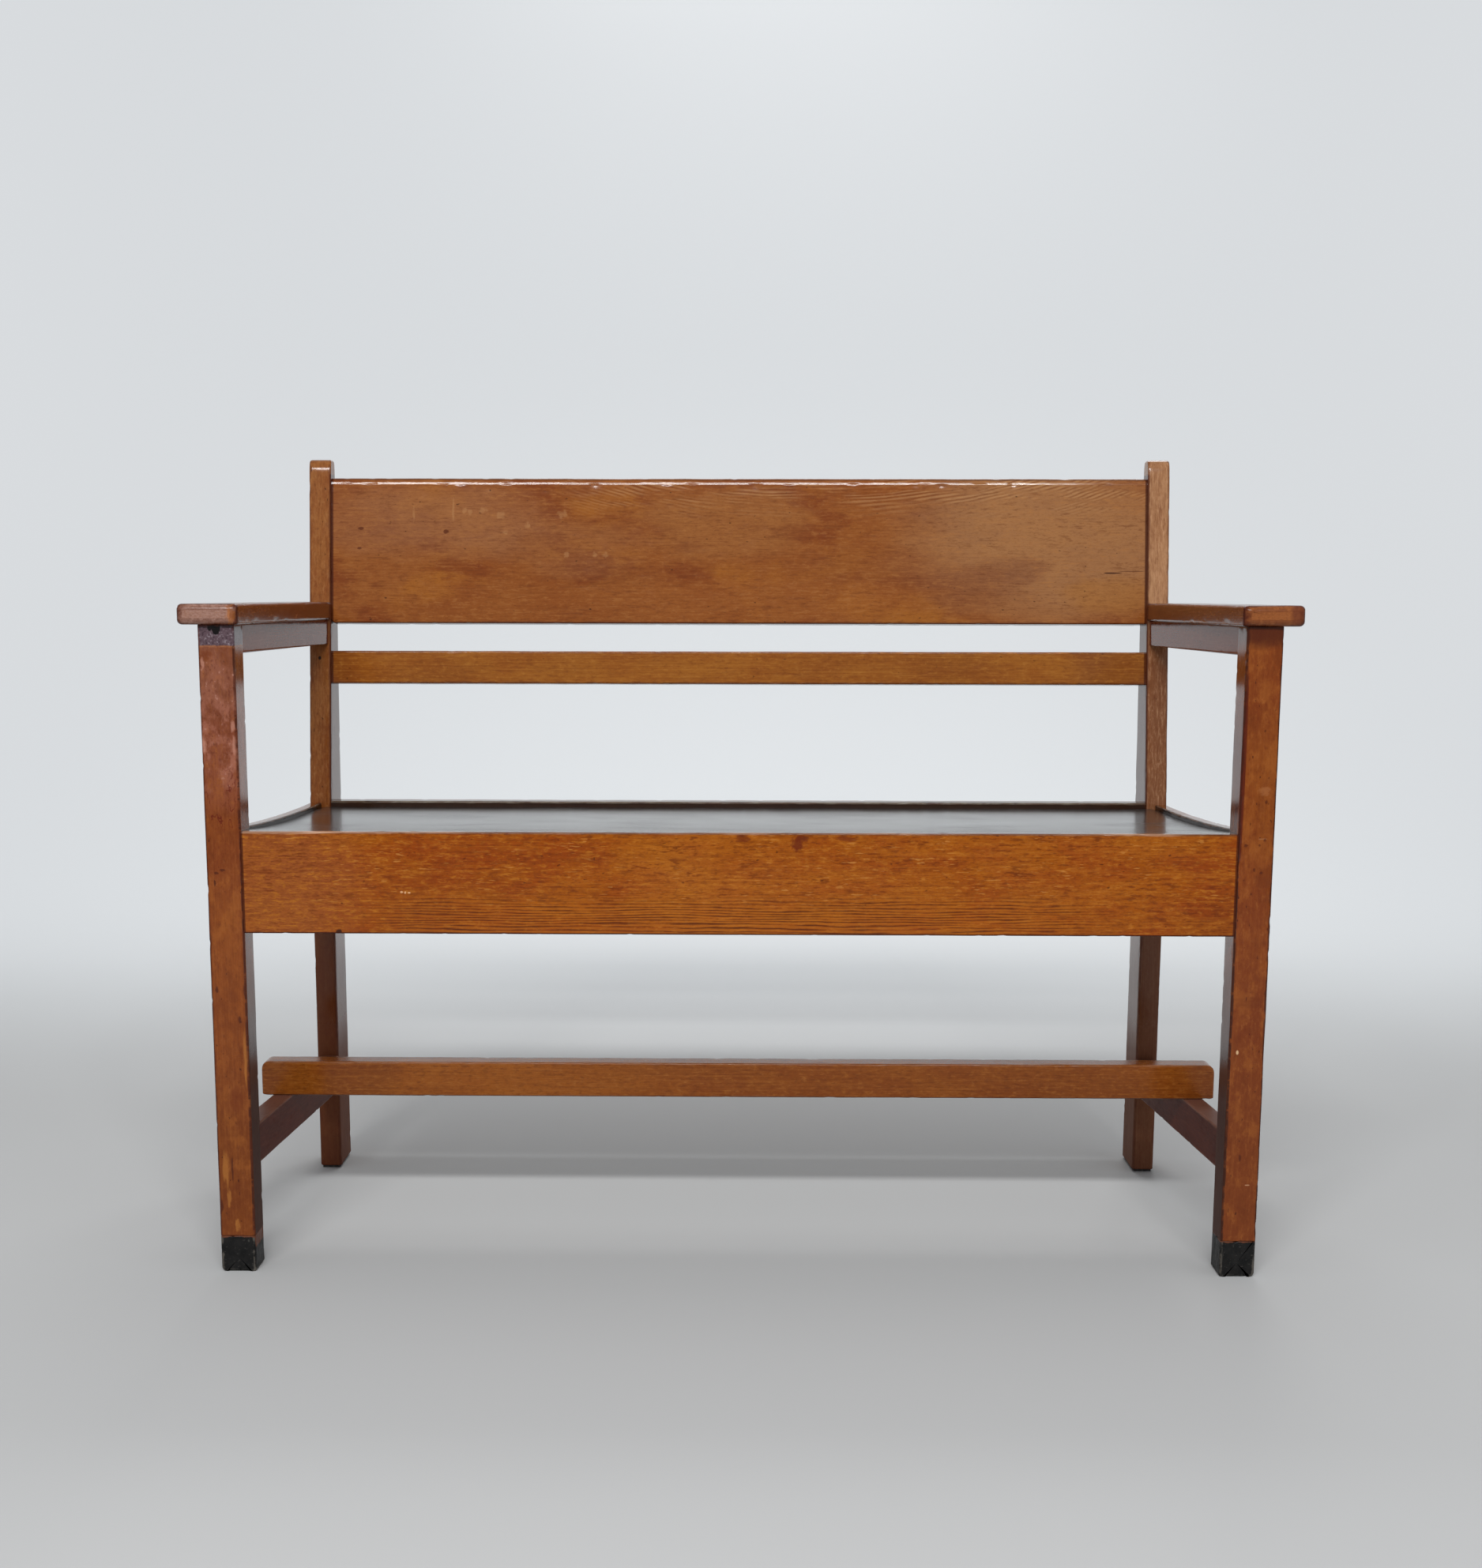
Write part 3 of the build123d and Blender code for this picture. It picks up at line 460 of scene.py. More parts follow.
right_leg_finish = oak(
    "right_leg_oak", (133, 66, 20), (102, 42, 10), (146, 82, 34), (122, 56, 16), dashes=0.35, lines=0.2,
    mottle=0.9, specks=1.0, rim=(58, 22, 8), rim_share=0.7, dull_below=0.2,
    washes=blotches(
        (513, 100, 50, 120, (112, 52, 16), 0.7, 0.3, 0.8),
        (516, 500, 30, 70, (140, 76, 22), 0.5, 0.8, 0.8)),
    marks=[
        handled_leg_with_painted_shade,
        *blotches(
            # painted shade: the first blotch is a dark band at the top of the leg, where the arm's shadow
            # falls
            (513, 658, 50, 16, (72, 28, 10), 0.85, 0.3, 0.7), (497, 530, 2.2, 100, (82, 24, 8), 0.9, 0.5),
            (503.5, 236, 1.3, 2.2, (214, 176, 132), 0.9, 0.1),
            (519.5, 97.6, 2.4, 0.6, (196, 150, 112), 0.7, 0.4),
            (519, 452.6, 4, 0.8, (160, 112, 76), 0.4, 0.8),
            (519, 500.5, 6, 4, (168, 108, 64), 0.4, 1.0, 0.8),
            # partly a dark spot in the wood and partly a painted shadow edge: a faint dark band across the
            # leg
            (512, 287, 14, 5, (100, 42, 8), 0.45, 0.9, 0.8)),
        *alike(
            (66, 22, 6), 0.62, 1.0, 0.7,
            (511.3, 126.4, 1.3, 4), (521.2, 489.4, 1.5, 2.2), (521.3, 451.6, 1.2, 1.6),
            (516.3, 446, 1.2, 1.6), (503, 446, 1.5, 1.6), (519, 419, 1.5, 1.6), (512, 422, 1.1, 2),
            (516.6, 559.5, 1, 1.2)),
        leg_joint])
for (side, sign), finish in zip(sides, (left_leg_finish, right_leg_finish)):
    outline, outs, arris = section(rectangle(-leg_half, -leg_half, leg_half, leg_half), [leg_arris] * 4)
    places, first, last = stations(leg_top - leg_bottom, 0.0035, 0.0004, 0.0006)
    wide, deep = spread(outline, leg_half, leg_half, -first - last, -first - last)
    points = grid_of(sign * leg_x + wide, front_y + leg_half + deep, (leg_bottom + places)[:, None])
    front_leg = carve(f"worn_front_leg_{side}", points, grid_of(*outs.T, 0), arris,
                      grid_of(places[:, None], wide, deep), (0, 0, 1), 11 + sign)
    place(front_leg, finish, "leg_oak", f"front_leg_{side}")

# The foot blocks are stained black and rubbed grey where brooms and shoes strike them. A shallow
# channel runs under each from front to back, so that it stands on two strips.
foot_height, channel_half, channel_depth = 0.038, 0.013, 0.0016


def black_foot():
    """Black stain over wood, with grey rubbing on the arrises, dust at the bottom and a ragged brown
    border at the top."""
    finish, at = new_finish("black_foot_stain")
    arris = at.make("Attribute", output="Fac", attribute_name="arris")
    x, _, z = at.parts()
    lumps = at.cloud(120, 120, 70, 4.0, 0.6)
    scuffs = at.cloud(300, 300, 500)
    inside = x.rise(-0.4958, -0.4952) * x.rise(-0.49, -0.494)
    border = z + inside * 0.011 + (lumps - 0.5) * 0.005 + (scuffs - 0.5) * 0.003
    colour = lumps.rise(0.35, 0.7).between((12, 12, 12), (28, 27, 26)).over(
        (84, 80, 76), scuffs.rise(0.6, 0.72) * 0.5,
        (104, 98, 90), (arris + (lumps - 0.5) * 2.4).rise(0.75, 1.2) * 0.55,
        (104, 54, 28), border.rise(0.0362, 0.0374) * 0.85,
        (110, 106, 98), z.rise(0.004, 0.0) * lumps.rise(0.4, 0.6) * 0.5)
    return finished(finish, {"Base Color": colour, "Roughness": lumps.rise(0.3, 0.7) * 0.25 + 0.4,
                             "Normal": (lumps + scuffs * 0.4).relief(0.6, 0.001), "IOR": 1.3})


foot_finish = black_foot()
foot_corners = [
    (-leg_half, 0), (-channel_half, 0), (-channel_half, channel_depth), (channel_half, channel_depth),
    (channel_half, 0), (leg_half, 0), (leg_half, foot_height), (-leg_half, foot_height)]
for side, sign in sides:
    outer_low, inner_low = (0.0045, 0.0018)[::-sign]
    outline, outs, arris = section(
        foot_corners, [outer_low, 0.0005, 0.0004, 0.0004, 0.0005, inner_low, 0.0006, 0.0006], 0.003)
    places, first, last = stations(2 * leg_half, 0.0025, 0.0022, 0.0022)
    wide, high = spread(outline, leg_half, foot_height, -first - last, 0 * first)
    points = grid_of(sign * leg_x + wide, front_y + places[:, None], high)
    foot_block = carve(f"worn_foot_block_{side}", points, grid_of(outs[:, 0], 0, outs[:, 1]), arris, points,
                       (0, 1, 0), 31 + sign, hollow=0.0001, knocks=0.0012)
    place(foot_block, foot_finish, "black_foot", f"foot_block_{side}")

# The rear legs run on as the back posts: upright to the seat, then raked back and tapered, with the top
# rounded over to the front and rear. They are one inch boards on edge, so they look slim from the front.
rear_y, post_x, post_half = 0.147, 0.49275, 0.01275
leg_depth, top_depth, pad_height = 0.0615, 0.024, 0.003
rake_start, post_top, lean = 0.450, 0.847, 0.053
crown_radius, facet_slope, facet_start, facet_run = 0.009, 0.12, 0.0125, 0.0035


def rear_leg_points():
    """Outline of a rear leg at each height z: it lies between rear_y + lean s and
    rear_y + leg_depth + (lean + top_depth - leg_depth) s, where s rises from 0 at rake_start to 1 at the
    top. The top 9 mm are rounded by r - sqrt(r^2 - d^2), and a facet is planed off below. Gives how wide
    and how deep each point lies, the heights, the normals and the arrises."""
    half = 0.02
    outline, outs, arris = section(rectangle(-post_half, -half, post_half, half), [0.0026] * 4)
    places, bottom, top = stations(post_top - pad_height, 0.005, 0.0012, 0.0026)
    heights = pad_height + places
    rise = (heights - rake_start).clip(0) / (post_top - rake_start)
    front = rear_y + lean * rise
    rear = rear_y + leg_depth + (lean + top_depth - leg_depth) * rise
    below_top = post_top - heights
    crown = crown_radius - np.sqrt(crown_radius**2 - (crown_radius - below_top).clip(0) ** 2)
    crown += facet_slope * (facet_start - below_top).clip(0, facet_run)
    half_depth = (rear - front) / 2 - crown - bottom
    wide, deep = spread(outline, post_half, half, -bottom - top, half_depth - half)
    return wide, (front + rear)[:, None] / 2 + deep, heights[:, None], outs, arris


def painted_shade_below_seat(under, at):
    """Painted shade: below the seat the rear legs are darkened to dark brown, as if in the seat's shadow."""
    uneven = (at.cloud(12, 12, 6) - 0.5) * 0.05
    return under.over((88, 38, 16), (at.parts()[2] + uneven).rise(0.42, 0.3) * 0.78)


def split_grain(under, at):
    """A few long dark lines down the right post's front, where the coarse grain has opened."""
    _, y, z = at.parts()
    fibre = at.cloud(620, 200, 16, 2.0, 0.6).rise(0.6, 0.68) * at.cloud(60, 60, 26, 2.0, 0.5).rise(0.45, 0.6)
    return under.over((104, 52, 26), fibre * z.rise(0.44, 0.5) * (y - z * 0.134).rise(0.11, 0.1) * 0.7)


post_joint = seam(0, 0.480, 0.0016, old_seam, 0.8, 0.35, 0.83)
left_post_finish = oak(
    "left_post_oak", (144, 88, 42), (100, 50, 18), (160, 108, 62), (128, 68, 28), dashes=0.4, mottle=0.8,
    specks=0.8, rim=dark_rim, rim_share=0.45, dull_below=0.16,
    washes=[blotch(-493.2, 460, 30, 80, (128, 68, 24), 0.6, 0.4, 0.8)],
    marks=[painted_shade_below_seat, blotch(-493.2, 616, 1.7, 2.2, (24, 14, 10), 0.95, 0.1), post_joint])
right_post_finish = oak(
    "right_post_oak", (170, 124, 86), (106, 58, 30), (200, 154, 116), (152, 102, 66), dashes=0.25, lines=0.4,
    mottle=0.5, specks=0.6, rim=dark_rim, rim_share=0.5, dull_below=0.16,
    washes=[blotch(493.2, 520, 50, 140, (126, 74, 44), 0.8, 0.2, 0.6)],
    marks=[split_grain, painted_shade_below_seat, post_joint])
for (side, sign), finish in zip(sides, (left_post_finish, right_post_finish)):
    wide, deep, heights, outs, arris = rear_leg_points()
    points = grid_of(sign * post_x + wide, deep, heights)
    rear_leg = carve(f"worn_rear_leg_{side}", points, grid_of(*outs.T, 0), arris, points[..., [2, 0, 1]],
                     (0, 0, 1), 41 + sign)
    place(rear_leg, finish, "leg_oak", f"rear_leg_{side}")

# Thin dark pads are nailed under the rear legs. They are plain blocks of hard rubber, dusty grey in patches,
# and keep the shape that the CAD gives them.


def refinish(finish, *nodes):
    """Lays a finish on CAD nodes that keep their own shape."""
    for node in nodes:
        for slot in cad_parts[node].material_slots:
            slot.material = finish


pad_finish, at = new_finish("pad_rubber_finish")
lumps = at.cloud(400, 400, 400)
finished(pad_finish, {"Base Color": lumps.rise(0.35, 0.7).between((26, 24, 23), (58, 54, 50)),
                      "Roughness": lumps * 0.2 + 0.65, "Normal": lumps.relief(0.4, 0.0003)})
refinish(pad_finish, "rear_pads")

# The front seat rail is a deep oak board, flush with the legs and tenoned into them. Its grain runs
# level, with fine dark streaks below the middle. The top arris is worn pale by sitters' legs, and behind
# its narrow lip the wood is cut down to bed the seat board.
rail_end, rail_low, rail_top = 0.4953, 0.354, 0.457
rail_depth, front_lip, front_bed = 0.022, 0.010, 0.4475


def rail_points(corners, radii, end, base_y, step=0.005):
    """Points of a level rail from x = -end to end: the outline in depth and height, at every station.
    Gives the points, normals and arrises, and the points once more as the grain."""
    outline, outs, arris = section(corners, radii)
    places, _, _ = stations(2 * end, step, 0.0006, 0.0006)
    points = grid_of((places - end)[:, None], base_y + outline[:, 0], outline[:, 1])
    return points, grid_of(0, *outs.T), arris, points


def rail_lines(under, at):
    """Long dark lines side by side, 3 mm apart, below the middle of the rail: a wave of the height,
    bent by slow noise, cut into runs by another, with gold between them."""
    x, _, z = at.parts()
    bend = at.cloud(4, 4, 40, 4.0, 0.6) * 30
    drawn = ((z * 2000 + bend).wave() * 0.5 + 0.5) ** 2
    runs = at.cloud(14, 14, 330, 3.0, 0.62).rise(0.36, 0.58)
    where = z.rise(0.404, 0.378) * x.rise(-0.42, -0.28) * x.rise(0.42, 0.26)
    return under.over((172, 96, 18), (1 - drawn) * where * 0.5, (76, 30, 4), drawn * runs * where * 0.9)


def rail_flecks(under, at):
    """Short pale scratches along the grain, in patches over the upper part."""
    fleck = at.cloud(75, 75, 520, 2.0, 0.55).rise(0.62, 0.69)
    where = at.cloud(14, 14, 30, 2.0, 0.5).rise(0.42, 0.58) * at.parts()[2].rise(0.37, 0.4)
    return under.over((200, 136, 62), fleck * where * 0.5)


def worn_top(under, at):
    """The rail's top arris, rubbed to pale wood in an uneven line, with small chips below it."""
    x, _, z = at.parts()
    line = (z + (at.cloud(30, 30, 200, 3.0, 0.65) - 0.5) * 0.006).rise(0.4545, 0.4565)
    bright = at.cloud(9, 9, 9, 2.0, 0.5).rise(0.45, 0.7) * 0.5 + x.rise(-0.2, -0.42) * 0.35
    chips = at.cloud(55, 55, 160, 2.0, 0.6).rise(0.64, 0.7) * z.rise(0.446, 0.451)
    return under.over((72, 46, 32), z.rise(0.4545, 0.4562) * 0.7, (206, 160, 128), line * bright,
                      (96, 40, 14), chips * 0.7)


rail_finish = oak(
    "front_rail_oak", (152, 78, 7), (102, 42, 3), (176, 106, 30), (138, 57, 4), dashes=0.75, lines=0.25,
    mottle=0.8, specks=0.7, ior=1.28,
    washes=[blotch(-460, 420, 80, 80, (144, 80, 36), 0.7, 0.4, 0.8)],
    marks=[
        rail_lines,
        rail_flecks,
        *blotches(
            (5, 451.5, 6, 3.5, (104, 40, 10), 0.75, 1.1, 0.8),
            (58.5, 446.5, 5.5, 6.5, (100, 34, 8), 0.85, 1.0, 0.7),
            (63, 451, 5, 4, (100, 34, 8), 0.7, 0.8, 0.7),
            (107, 451.5, 9, 2.5, (108, 42, 10), 0.7, 1.1, 0.8)),
        *alike(
            (222, 172, 124), 0.75, 0.5, 0.5,
            (-336, 396.7, 1.5, 1.1), (-332.5, 396.2, 1, 1.2), (-328.5, 396, 1.4, 0.9)),
        blotch(-400, 356.5, 3, 2, (40, 14, 4), 0.9, 0.3),
        worn_top,
        seam(2, 0.3545, 0.0012, old_seam, 0.9, -2.0, 2.0, 0),
        seam(0, 0.4946, 0.001, old_seam, 0.85)])
front_rail = carve("worn_front_seat_rail", *rail_points(
    [(0, rail_low), (rail_depth, rail_low), (rail_depth, front_bed), (front_lip, front_bed),
     (front_lip, rail_top), (0, rail_top)],
    [0.002, 0.0015, 0.0008, 0.0004, 0.0008, 0.0016], rail_end, front_y, 0.0035), (1, 0, 0), 51)
place(front_rail, rail_finish, "rail_oak", "front_seat_rail")

# The back seat rail closes the frame behind the seat. Its upper front edge is painted black as shade above
# the seat, with a painted grey highlight along the arris, and its rear face is plain varnished oak.
back_end, back_rail_top = 0.4803, 0.449


def painted_shade_and_highlight(under, at):
    """Painted shade: black along the upper front of the rail, which fades out unevenly over its top edge,
    with a painted grey highlight along the arris."""
    _, y, z = at.parts()
    uneven = (at.cloud(40, 40, 40) - 0.5) * 0.01
    # rubbed is the mask of the painted grey highlight along the arris
    rubbed = (z + uneven * 0.25).rise(0.4462, 0.4478) * (y + uneven * 0.4).rise(0.158, 0.152)
    return under.over(
        (30, 22, 18), z.rise(0.40, 0.41) * (y + uneven).rise(0.166, 0.158) * 0.92,
        (112, 100, 84), rubbed * at.cloud(30, 90, 90).rise(0.3, 0.5) * 0.8)


back_rail_finish = oak("back_rail_oak", (136, 74, 24), (96, 46, 12), (152, 94, 44), (120, 58, 18),
                       rim=(70, 34, 16), marks=[painted_shade_and_highlight])
back_rail = carve("worn_back_seat_rail", *rail_points(
    rectangle(0, rail_low, rail_depth, back_rail_top), [0.0015, 0.002, 0.002, 0.0018], back_end, rear_y),
    (1, 0, 0), 53)
place(back_rail, back_rail_finish, "rail_oak", "back_seat_rail")

# The side seat rails run back from the front legs, converging a little. Their top edges are hollowed to
# follow the seat, with a lip outside the seat board.
side_x, side_top, side_bed, side_lip = 0.531, 0.455, 0.4425, 0.014
side_drop, side_low_y = 0.009, front_y + 0.285
leg_back_y, converging, into_joint = front_y + 2 * leg_half, 0.0255, 0.0003
splay = converging / (rear_y - leg_back_y)


def hollow_z(y, front_z, drop, low_y, from_y):
    """Height of an arc that falls by drop from its front end to its lowest place:
    z = low + R - sqrt(R^2 - (y - low_y)^2), where R = (drop^2 + run^2) / (2 drop)."""
    radius = (drop**2 + (low_y - from_y) ** 2) / (2 * drop)
    return front_z - drop + radius - np.sqrt(radius**2 - (y - low_y) ** 2)


def painted_shade_inner_edge(under, at):
    """Painted shade: the inner edge of the lip, black where the gap beside the seat lies in shadow. Across
    the rail its place is |x| + splay y.
    """
    x, y, z = at.parts()
    inward = x.far() + y * splay + (at.cloud(60, 60, 60) - 0.5) * 0.004
    return under.over((22, 18, 16), inward.rise(0.5065, 0.5045) * z.rise(0.43, 0.435) * 0.95)


side_rail_finish = oak(
    "side_rail_oak", (134, 72, 26), (96, 44, 14), (160, 108, 70), (118, 58, 20), rim=(150, 112, 88),
    rim_share=0.4, gloss=0.1, marks=[painted_shade_inner_edge])
for side, sign in sides:
    outline, outs, arris = section(
        [(0, rail_low), (rail_depth, rail_low), (rail_depth, side_bed), (side_lip, side_bed),
         (side_lip, side_top), (0, side_top)], [0.002, 0.0015, 0.0008, 0.0004, 0.0014, 0.0022])
    places, _, _ = stations(rear_y - leg_back_y + 2 * into_joint, 0.005, 0.0006, 0.0006)
    y = (leg_back_y - into_joint + places)[:, None]
    stretch = (hollow_z(y, side_top, side_drop, side_low_y, leg_back_y) - rail_low) / (side_top - rail_low)
    points = grid_of(sign * (side_x - splay * (y - leg_back_y) - outline[:, 0]), y,
                     rail_low + (outline[:, 1] - rail_low) * stretch)
    side_rail = carve(f"worn_side_seat_rail_{side}", points, grid_of(-sign * outs[:, 0], 0, outs[:, 1]),
                      arris, points[..., [1, 0, 2]], (0, 1, 0), 57 + sign)
    place(side_rail, side_rail_finish, "rail_oak", f"side_seat_rail_{side}")

# The seat is one thin bent board, hollowed from front to back and lacquered black. Long use has
# polished it, so that it mirrors what is behind it, with faint streaks along the sitters' way.
seat_play, seat_thick, inner_leg = 0.0004, 0.008, 0.4946
seat_front_y, seat_back_y = front_y + front_lip + seat_play, rear_y - seat_play
seat_front_z, seat_drop, seat_low_y = 0.4565, 0.016, front_y + 0.270


def seat_surface():
    """A grid of stations across x and places in depth. Each station runs from front(x) to back(x): the
    front is notched round the legs, and the back is where the converging side rails cut it off. Its
    upper face is the arc of the hollow and its lower face lies 8 mm below."""
    eased = 0.0012
    half_at_leg = side_x - side_lip - seat_play
    xs = np.concatenate([np.linspace(0, inner_leg - 0.002, 70), inner_leg + np.array([-0.0008, 0, 0.0002]),
                         np.linspace(inner_leg + 0.002, half_at_leg - 0.0004, 8)])
    xs = np.concatenate([-xs[:0:-1], xs])[:, None]
    front = np.where(np.abs(xs) <= inner_leg, seat_front_y, leg_back_y + seat_play)
    back = np.minimum(seat_back_y, leg_back_y + (half_at_leg - np.abs(xs)) / splay)
    back = np.maximum(back, front + 0.002)
    t = np.concatenate([[0, 0.004, 0.01], np.linspace(0.03, 0.97, 60), [0.99, 0.996, 1]])
    y = front + (back - front) * t
    upper = grid_of(xs, y, hollow_z(y, seat_front_z, seat_drop, seat_low_y, front_y + front_lip))
    waves = ripple(upper * (1, 1, 0), 0.22, 71) * 0.00012 + ripple(upper, 0.07, 72) * 0.00003
    rims = np.exp(-(((y - front) / eased) ** 2)) + np.exp(-(((back - y) / eased) ** 2))
    upper[..., 2] -= np.abs(waves) + 0.0008 * rims
    return np.concatenate([upper, upper[:, ::-1] - (0, 0, seat_thick)], 1)


grid = seat_surface()
rows, columns = grid.shape[:2]
edge = np.arange(columns // 2 - 1)
left_cap = np.stack([edge, edge + 1, columns - 2 - edge, columns - 1 - edge], 1)
right_cap = left_cap[:, ::-1] + (rows - 1) * columns
flat = grid.reshape(-1, 3)
seat_faces = np.concatenate([skin(rows, columns)[:, ::-1], left_cap, right_cap]).tolist()
seat_board = finish_mesh("polished_seat_board", flat, seat_faces, flat, np.zeros(len(flat)))
seat_finish, at = new_finish("black_seat_lacquer")
patches, streaks = at.cloud(7, 14, 4, 4.0, 0.55), at.cloud(4, 260, 10)
colour = patches.rise(0.35, 0.7).between((22, 20, 20), (40, 36, 34))
finished(seat_finish, {
    "Base Color": colour.over((84, 76, 70), at.cloud(240, 240, 60, 2.0, 0.5).rise(0.7, 0.78) * 0.35),
    "Roughness": patches.rise(0.3, 0.75) * 0.1 + streaks.rise(0.5, 0.8) * 0.06 + 0.18,
    "Normal": (streaks * 0.4 + patches * 0.6).relief(0.1, 0.0003), "IOR": 1.5,
    "Coat Weight": 0.9 - patches.rise(0.45, 0.8) * 0.4, "Coat Roughness": 0.2})
place(seat_board, seat_finish, "black_seat", "seat_board")

# Under the seat are a bearer across the middle, cleats along the back rail and four corner blocks.
# They are sawn from plain wood and left unvarnished, dusty brown with age, as are the dowels.
inner_finish, at = new_finish("sawn_inner_wood")
fibres, patches = at.cloud(60, 60, 380), at.cloud(12, 12, 12, 3.0, 0.5)
colour = fibres.rise(0.3, 0.75).between((168, 128, 84), (128, 90, 54))
finished(inner_finish, {
    "Base Color": colour.over((96, 70, 46), patches.rise(0.45, 0.7) * 0.5), "Roughness": patches * 0.2 + 0.6,
    "Normal": (at.cloud(500, 500, 40, 2.0, 0.5) + fibres * 0.6).relief(0.5, 0.0005)})
refinish(inner_finish, "seat_bearer", "seat_cleat_left", "seat_cleat_right", "corner_block_front_left",
         "corner_block_front_right", "corner_block_rear_left", "corner_block_rear_right",
         "foot_dowels", "arm_dowels", "post_dowels")

# Plain steel wood screws hold the blocks, the cleats and the long stretcher, all from where they
# don't show. Their heads are dulled by age.
screw_finish, at = new_finish("old_screw_steel")
spots = at.cloud(900, 900, 900)
finished(screw_finish, {
    "Base Color": spots.rise(0.45, 0.7).between((150, 146, 140), (92, 62, 44)),
    "Metallic": 1 - spots.rise(0.5, 0.72) * 0.8, "Roughness": spots.rise(0.4, 0.7) * 0.35 + 0.35,
    "Normal": spots.relief(0.3, 0.0001)})
refinish(screw_finish, "corner_block_screws", "cleat_screws", "seat_screws", "stretcher_screws")

# The rails under the arms are tenoned between the front legs and the raked posts. Their oak is painted darker
# and greyer than the rest, as shade under the arms.
arm_bottom, arm_top = 0.661, 0.6815
under_rail_low, under_rail_half, under_rail_x, under_rail_turn = 0.632, 0.009, 0.507, 0.015
rake = lean / (post_top - rake_start)
arm_rear_y = rear_y + rake * (arm_bottom - rake_start)


def nearing(front_x, by, from_y, to_y):
    """A line in plan that comes nearer to the bench's middle towards the rear:
    x = front_x - by (y - from_y) / (to_y - from_y)."""
    return lambda y: front_x - by * (y - from_y) / (to_y - from_y)


def beside_seat(name, middle_x, half_width, low, high, radii, seed, sign, start=leg_back_y - into_joint,
                end=None, eased=(0.0006, 0.0006), **wear):
    """A board beside the seat: an outline of half_width and the height from low to high, carried back in
    y while its middle follows middle_x(y). eased says how far its front end is set in, across and up.
    With no end given, its rear end lies on the rake of the posts, as y is stretched by
    1 + rake (z - middle) / length."""
    half_height, middle_z = (high - low) / 2, (high + low) / 2
    outline, outs, arris = section(rectangle(-half_width, -half_height, half_width, half_height), radii)
    length = (end or rear_y + rake * (middle_z - rake_start) + into_joint) - start
    places, first, _ = stations(length, 0.005, max(eased), 0.0004)
    share = -first / max(eased)
    wide, up = spread(outline, half_width, half_height, share * eased[0], share * eased[1])
    y = start + places[:, None] * (1 if end else 1 + rake * up / length)
    points = grid_of(sign * (middle_x(y) - wide), y, middle_z + up)
    return carve(name, points, grid_of(-sign * outs[:, 0], 0, outs[:, 1]), arris, points[..., [1, 0, 2]],
                 (0, 1, 0), seed, **wear)


under_rail_finish = oak(
    "under_arm_rail_oak", (116, 58, 38), (82, 36, 22), (134, 80, 60), (104, 50, 38), dashes=0.2, mottle=0.5,
    rim=(80, 44, 34), rim_share=0.3, gloss=0.06, ior=1.24, relief=0.04)
for side, sign in sides:
    under_rail = beside_seat(
        f"worn_arm_rail_{side}", nearing(under_rail_x, under_rail_turn, leg_back_y, arm_rear_y),
        under_rail_half, under_rail_low, arm_bottom, [0.0014, 0.0014, 0.0005, 0.0005], 81 + sign, sign,
        hollow=0.00003, knocks=0.00008)
    place(under_rail, under_rail_finish, "arm_oak", f"arm_rail_{side}")

# The arms are flat boards with rounded edges, dowelled on to the front legs and into the posts. Their
# front ends are rubbed: the left one to a greyish pink, the right one to a warm orange.
arm_x, arm_turn, arm_half, arm_front_y = 0.5195, 0.0095, 0.030, front_y - 0.008


def front_end(pale, dark, amount):
    """The rubbed wood of an arm's front end: pale and speckled in the middle, dark towards its rim."""
    def lay(under, at):
        x, y, z = at.parts()
        speckle = at.cloud(420, 420, 600, 4.0, 0.7).rise(0.3, 0.66) * 0.5 + 0.5
        rubbed = (y + (at.cloud(60, 60, 60) - 0.5) * 0.012).rise(-0.2185, -0.2235)
        edge = at.cloud(140, 140, 140) * 7 - 3.5
        out = ((x.far() - arm_x) * (1 / 0.0285)).far() ** 5 + ((z - 0.6712) * (1 / 0.0104)).far() ** 5
        return under.over(pale, rubbed * speckle * amount,
                          dark, y.rise(-0.2162, -0.2182) * (out + edge * 0.3).rise(0.3, 1.1) * 0.9)
    return lay


def lower_rub(under, at):
    """A thin pale line, broken by noise, along the lower inner arris of each arm."""
    x, y, z = at.parts()
    line = z.rise(0.6655, 0.6628) * x.far().rise(0.515, 0.505) * y.rise(-0.21, -0.2)
    return under.over((168, 116, 78), line * at.cloud(30, 22, 30, 3.0, 0.7).rise(0.45, 0.65) * 0.5)


rubbed_ends = (
    (front_end((162, 126, 112), (80, 34, 16), 0.9),
     blotch(-495.5, 671, 4.5, 9, (164, 96, 40), 0.7, 1.2, 0.9), 0.8),
    (front_end((150, 88, 44), (78, 30, 14), 0.85),
     blotch(541, 672, 6, 12, (100, 48, 30), 0.7, 0.5, 0.8), 0.9))
for (side, sign), (rubbed_end, knock, seam_share) in zip(sides, rubbed_ends):
    arm_finish = oak(
        f"{side}_arm_oak", (112, 56, 26), (76, 32, 12), (140, 86, 50), (96, 44, 20), rim=dark_rim,
        rim_share=0.4, gloss=0.16,
        marks=[rubbed_end, knock, seam(0, 0.4895, 0.0012, old_seam, seam_share, -9.0, -0.2185, 1), lower_rub])
    arm = beside_seat(
        f"worn_arm_{side}", nearing(arm_x, arm_turn, front_y, arm_rear_y), arm_half, arm_bottom, arm_top,
        [0.0045, 0.0022, 0.0035, 0.0045], 91 + sign, sign, arm_front_y, eased=(0.006, 0.0062))
    place(arm, arm_finish, "arm_oak", f"arm_{side}")

# The back board is broad and flat, set just behind the posts' front faces and rounded over along its
# top. Its varnish is mottled pink and brown where backs have leant, with old knocks on the left and the
# arched grain of the heart on the right. The lower left corner is knocked round.
up_rake = np.array([0, lean, post_top - rake_start]) / math.hypot(lean, post_top - rake_start)
off_rake = np.array([0, up_rake[2], -up_rake[1]])
set_back, board_rear, board_low, board_high = 0.0025, 0.0205, 0.209, 0.380


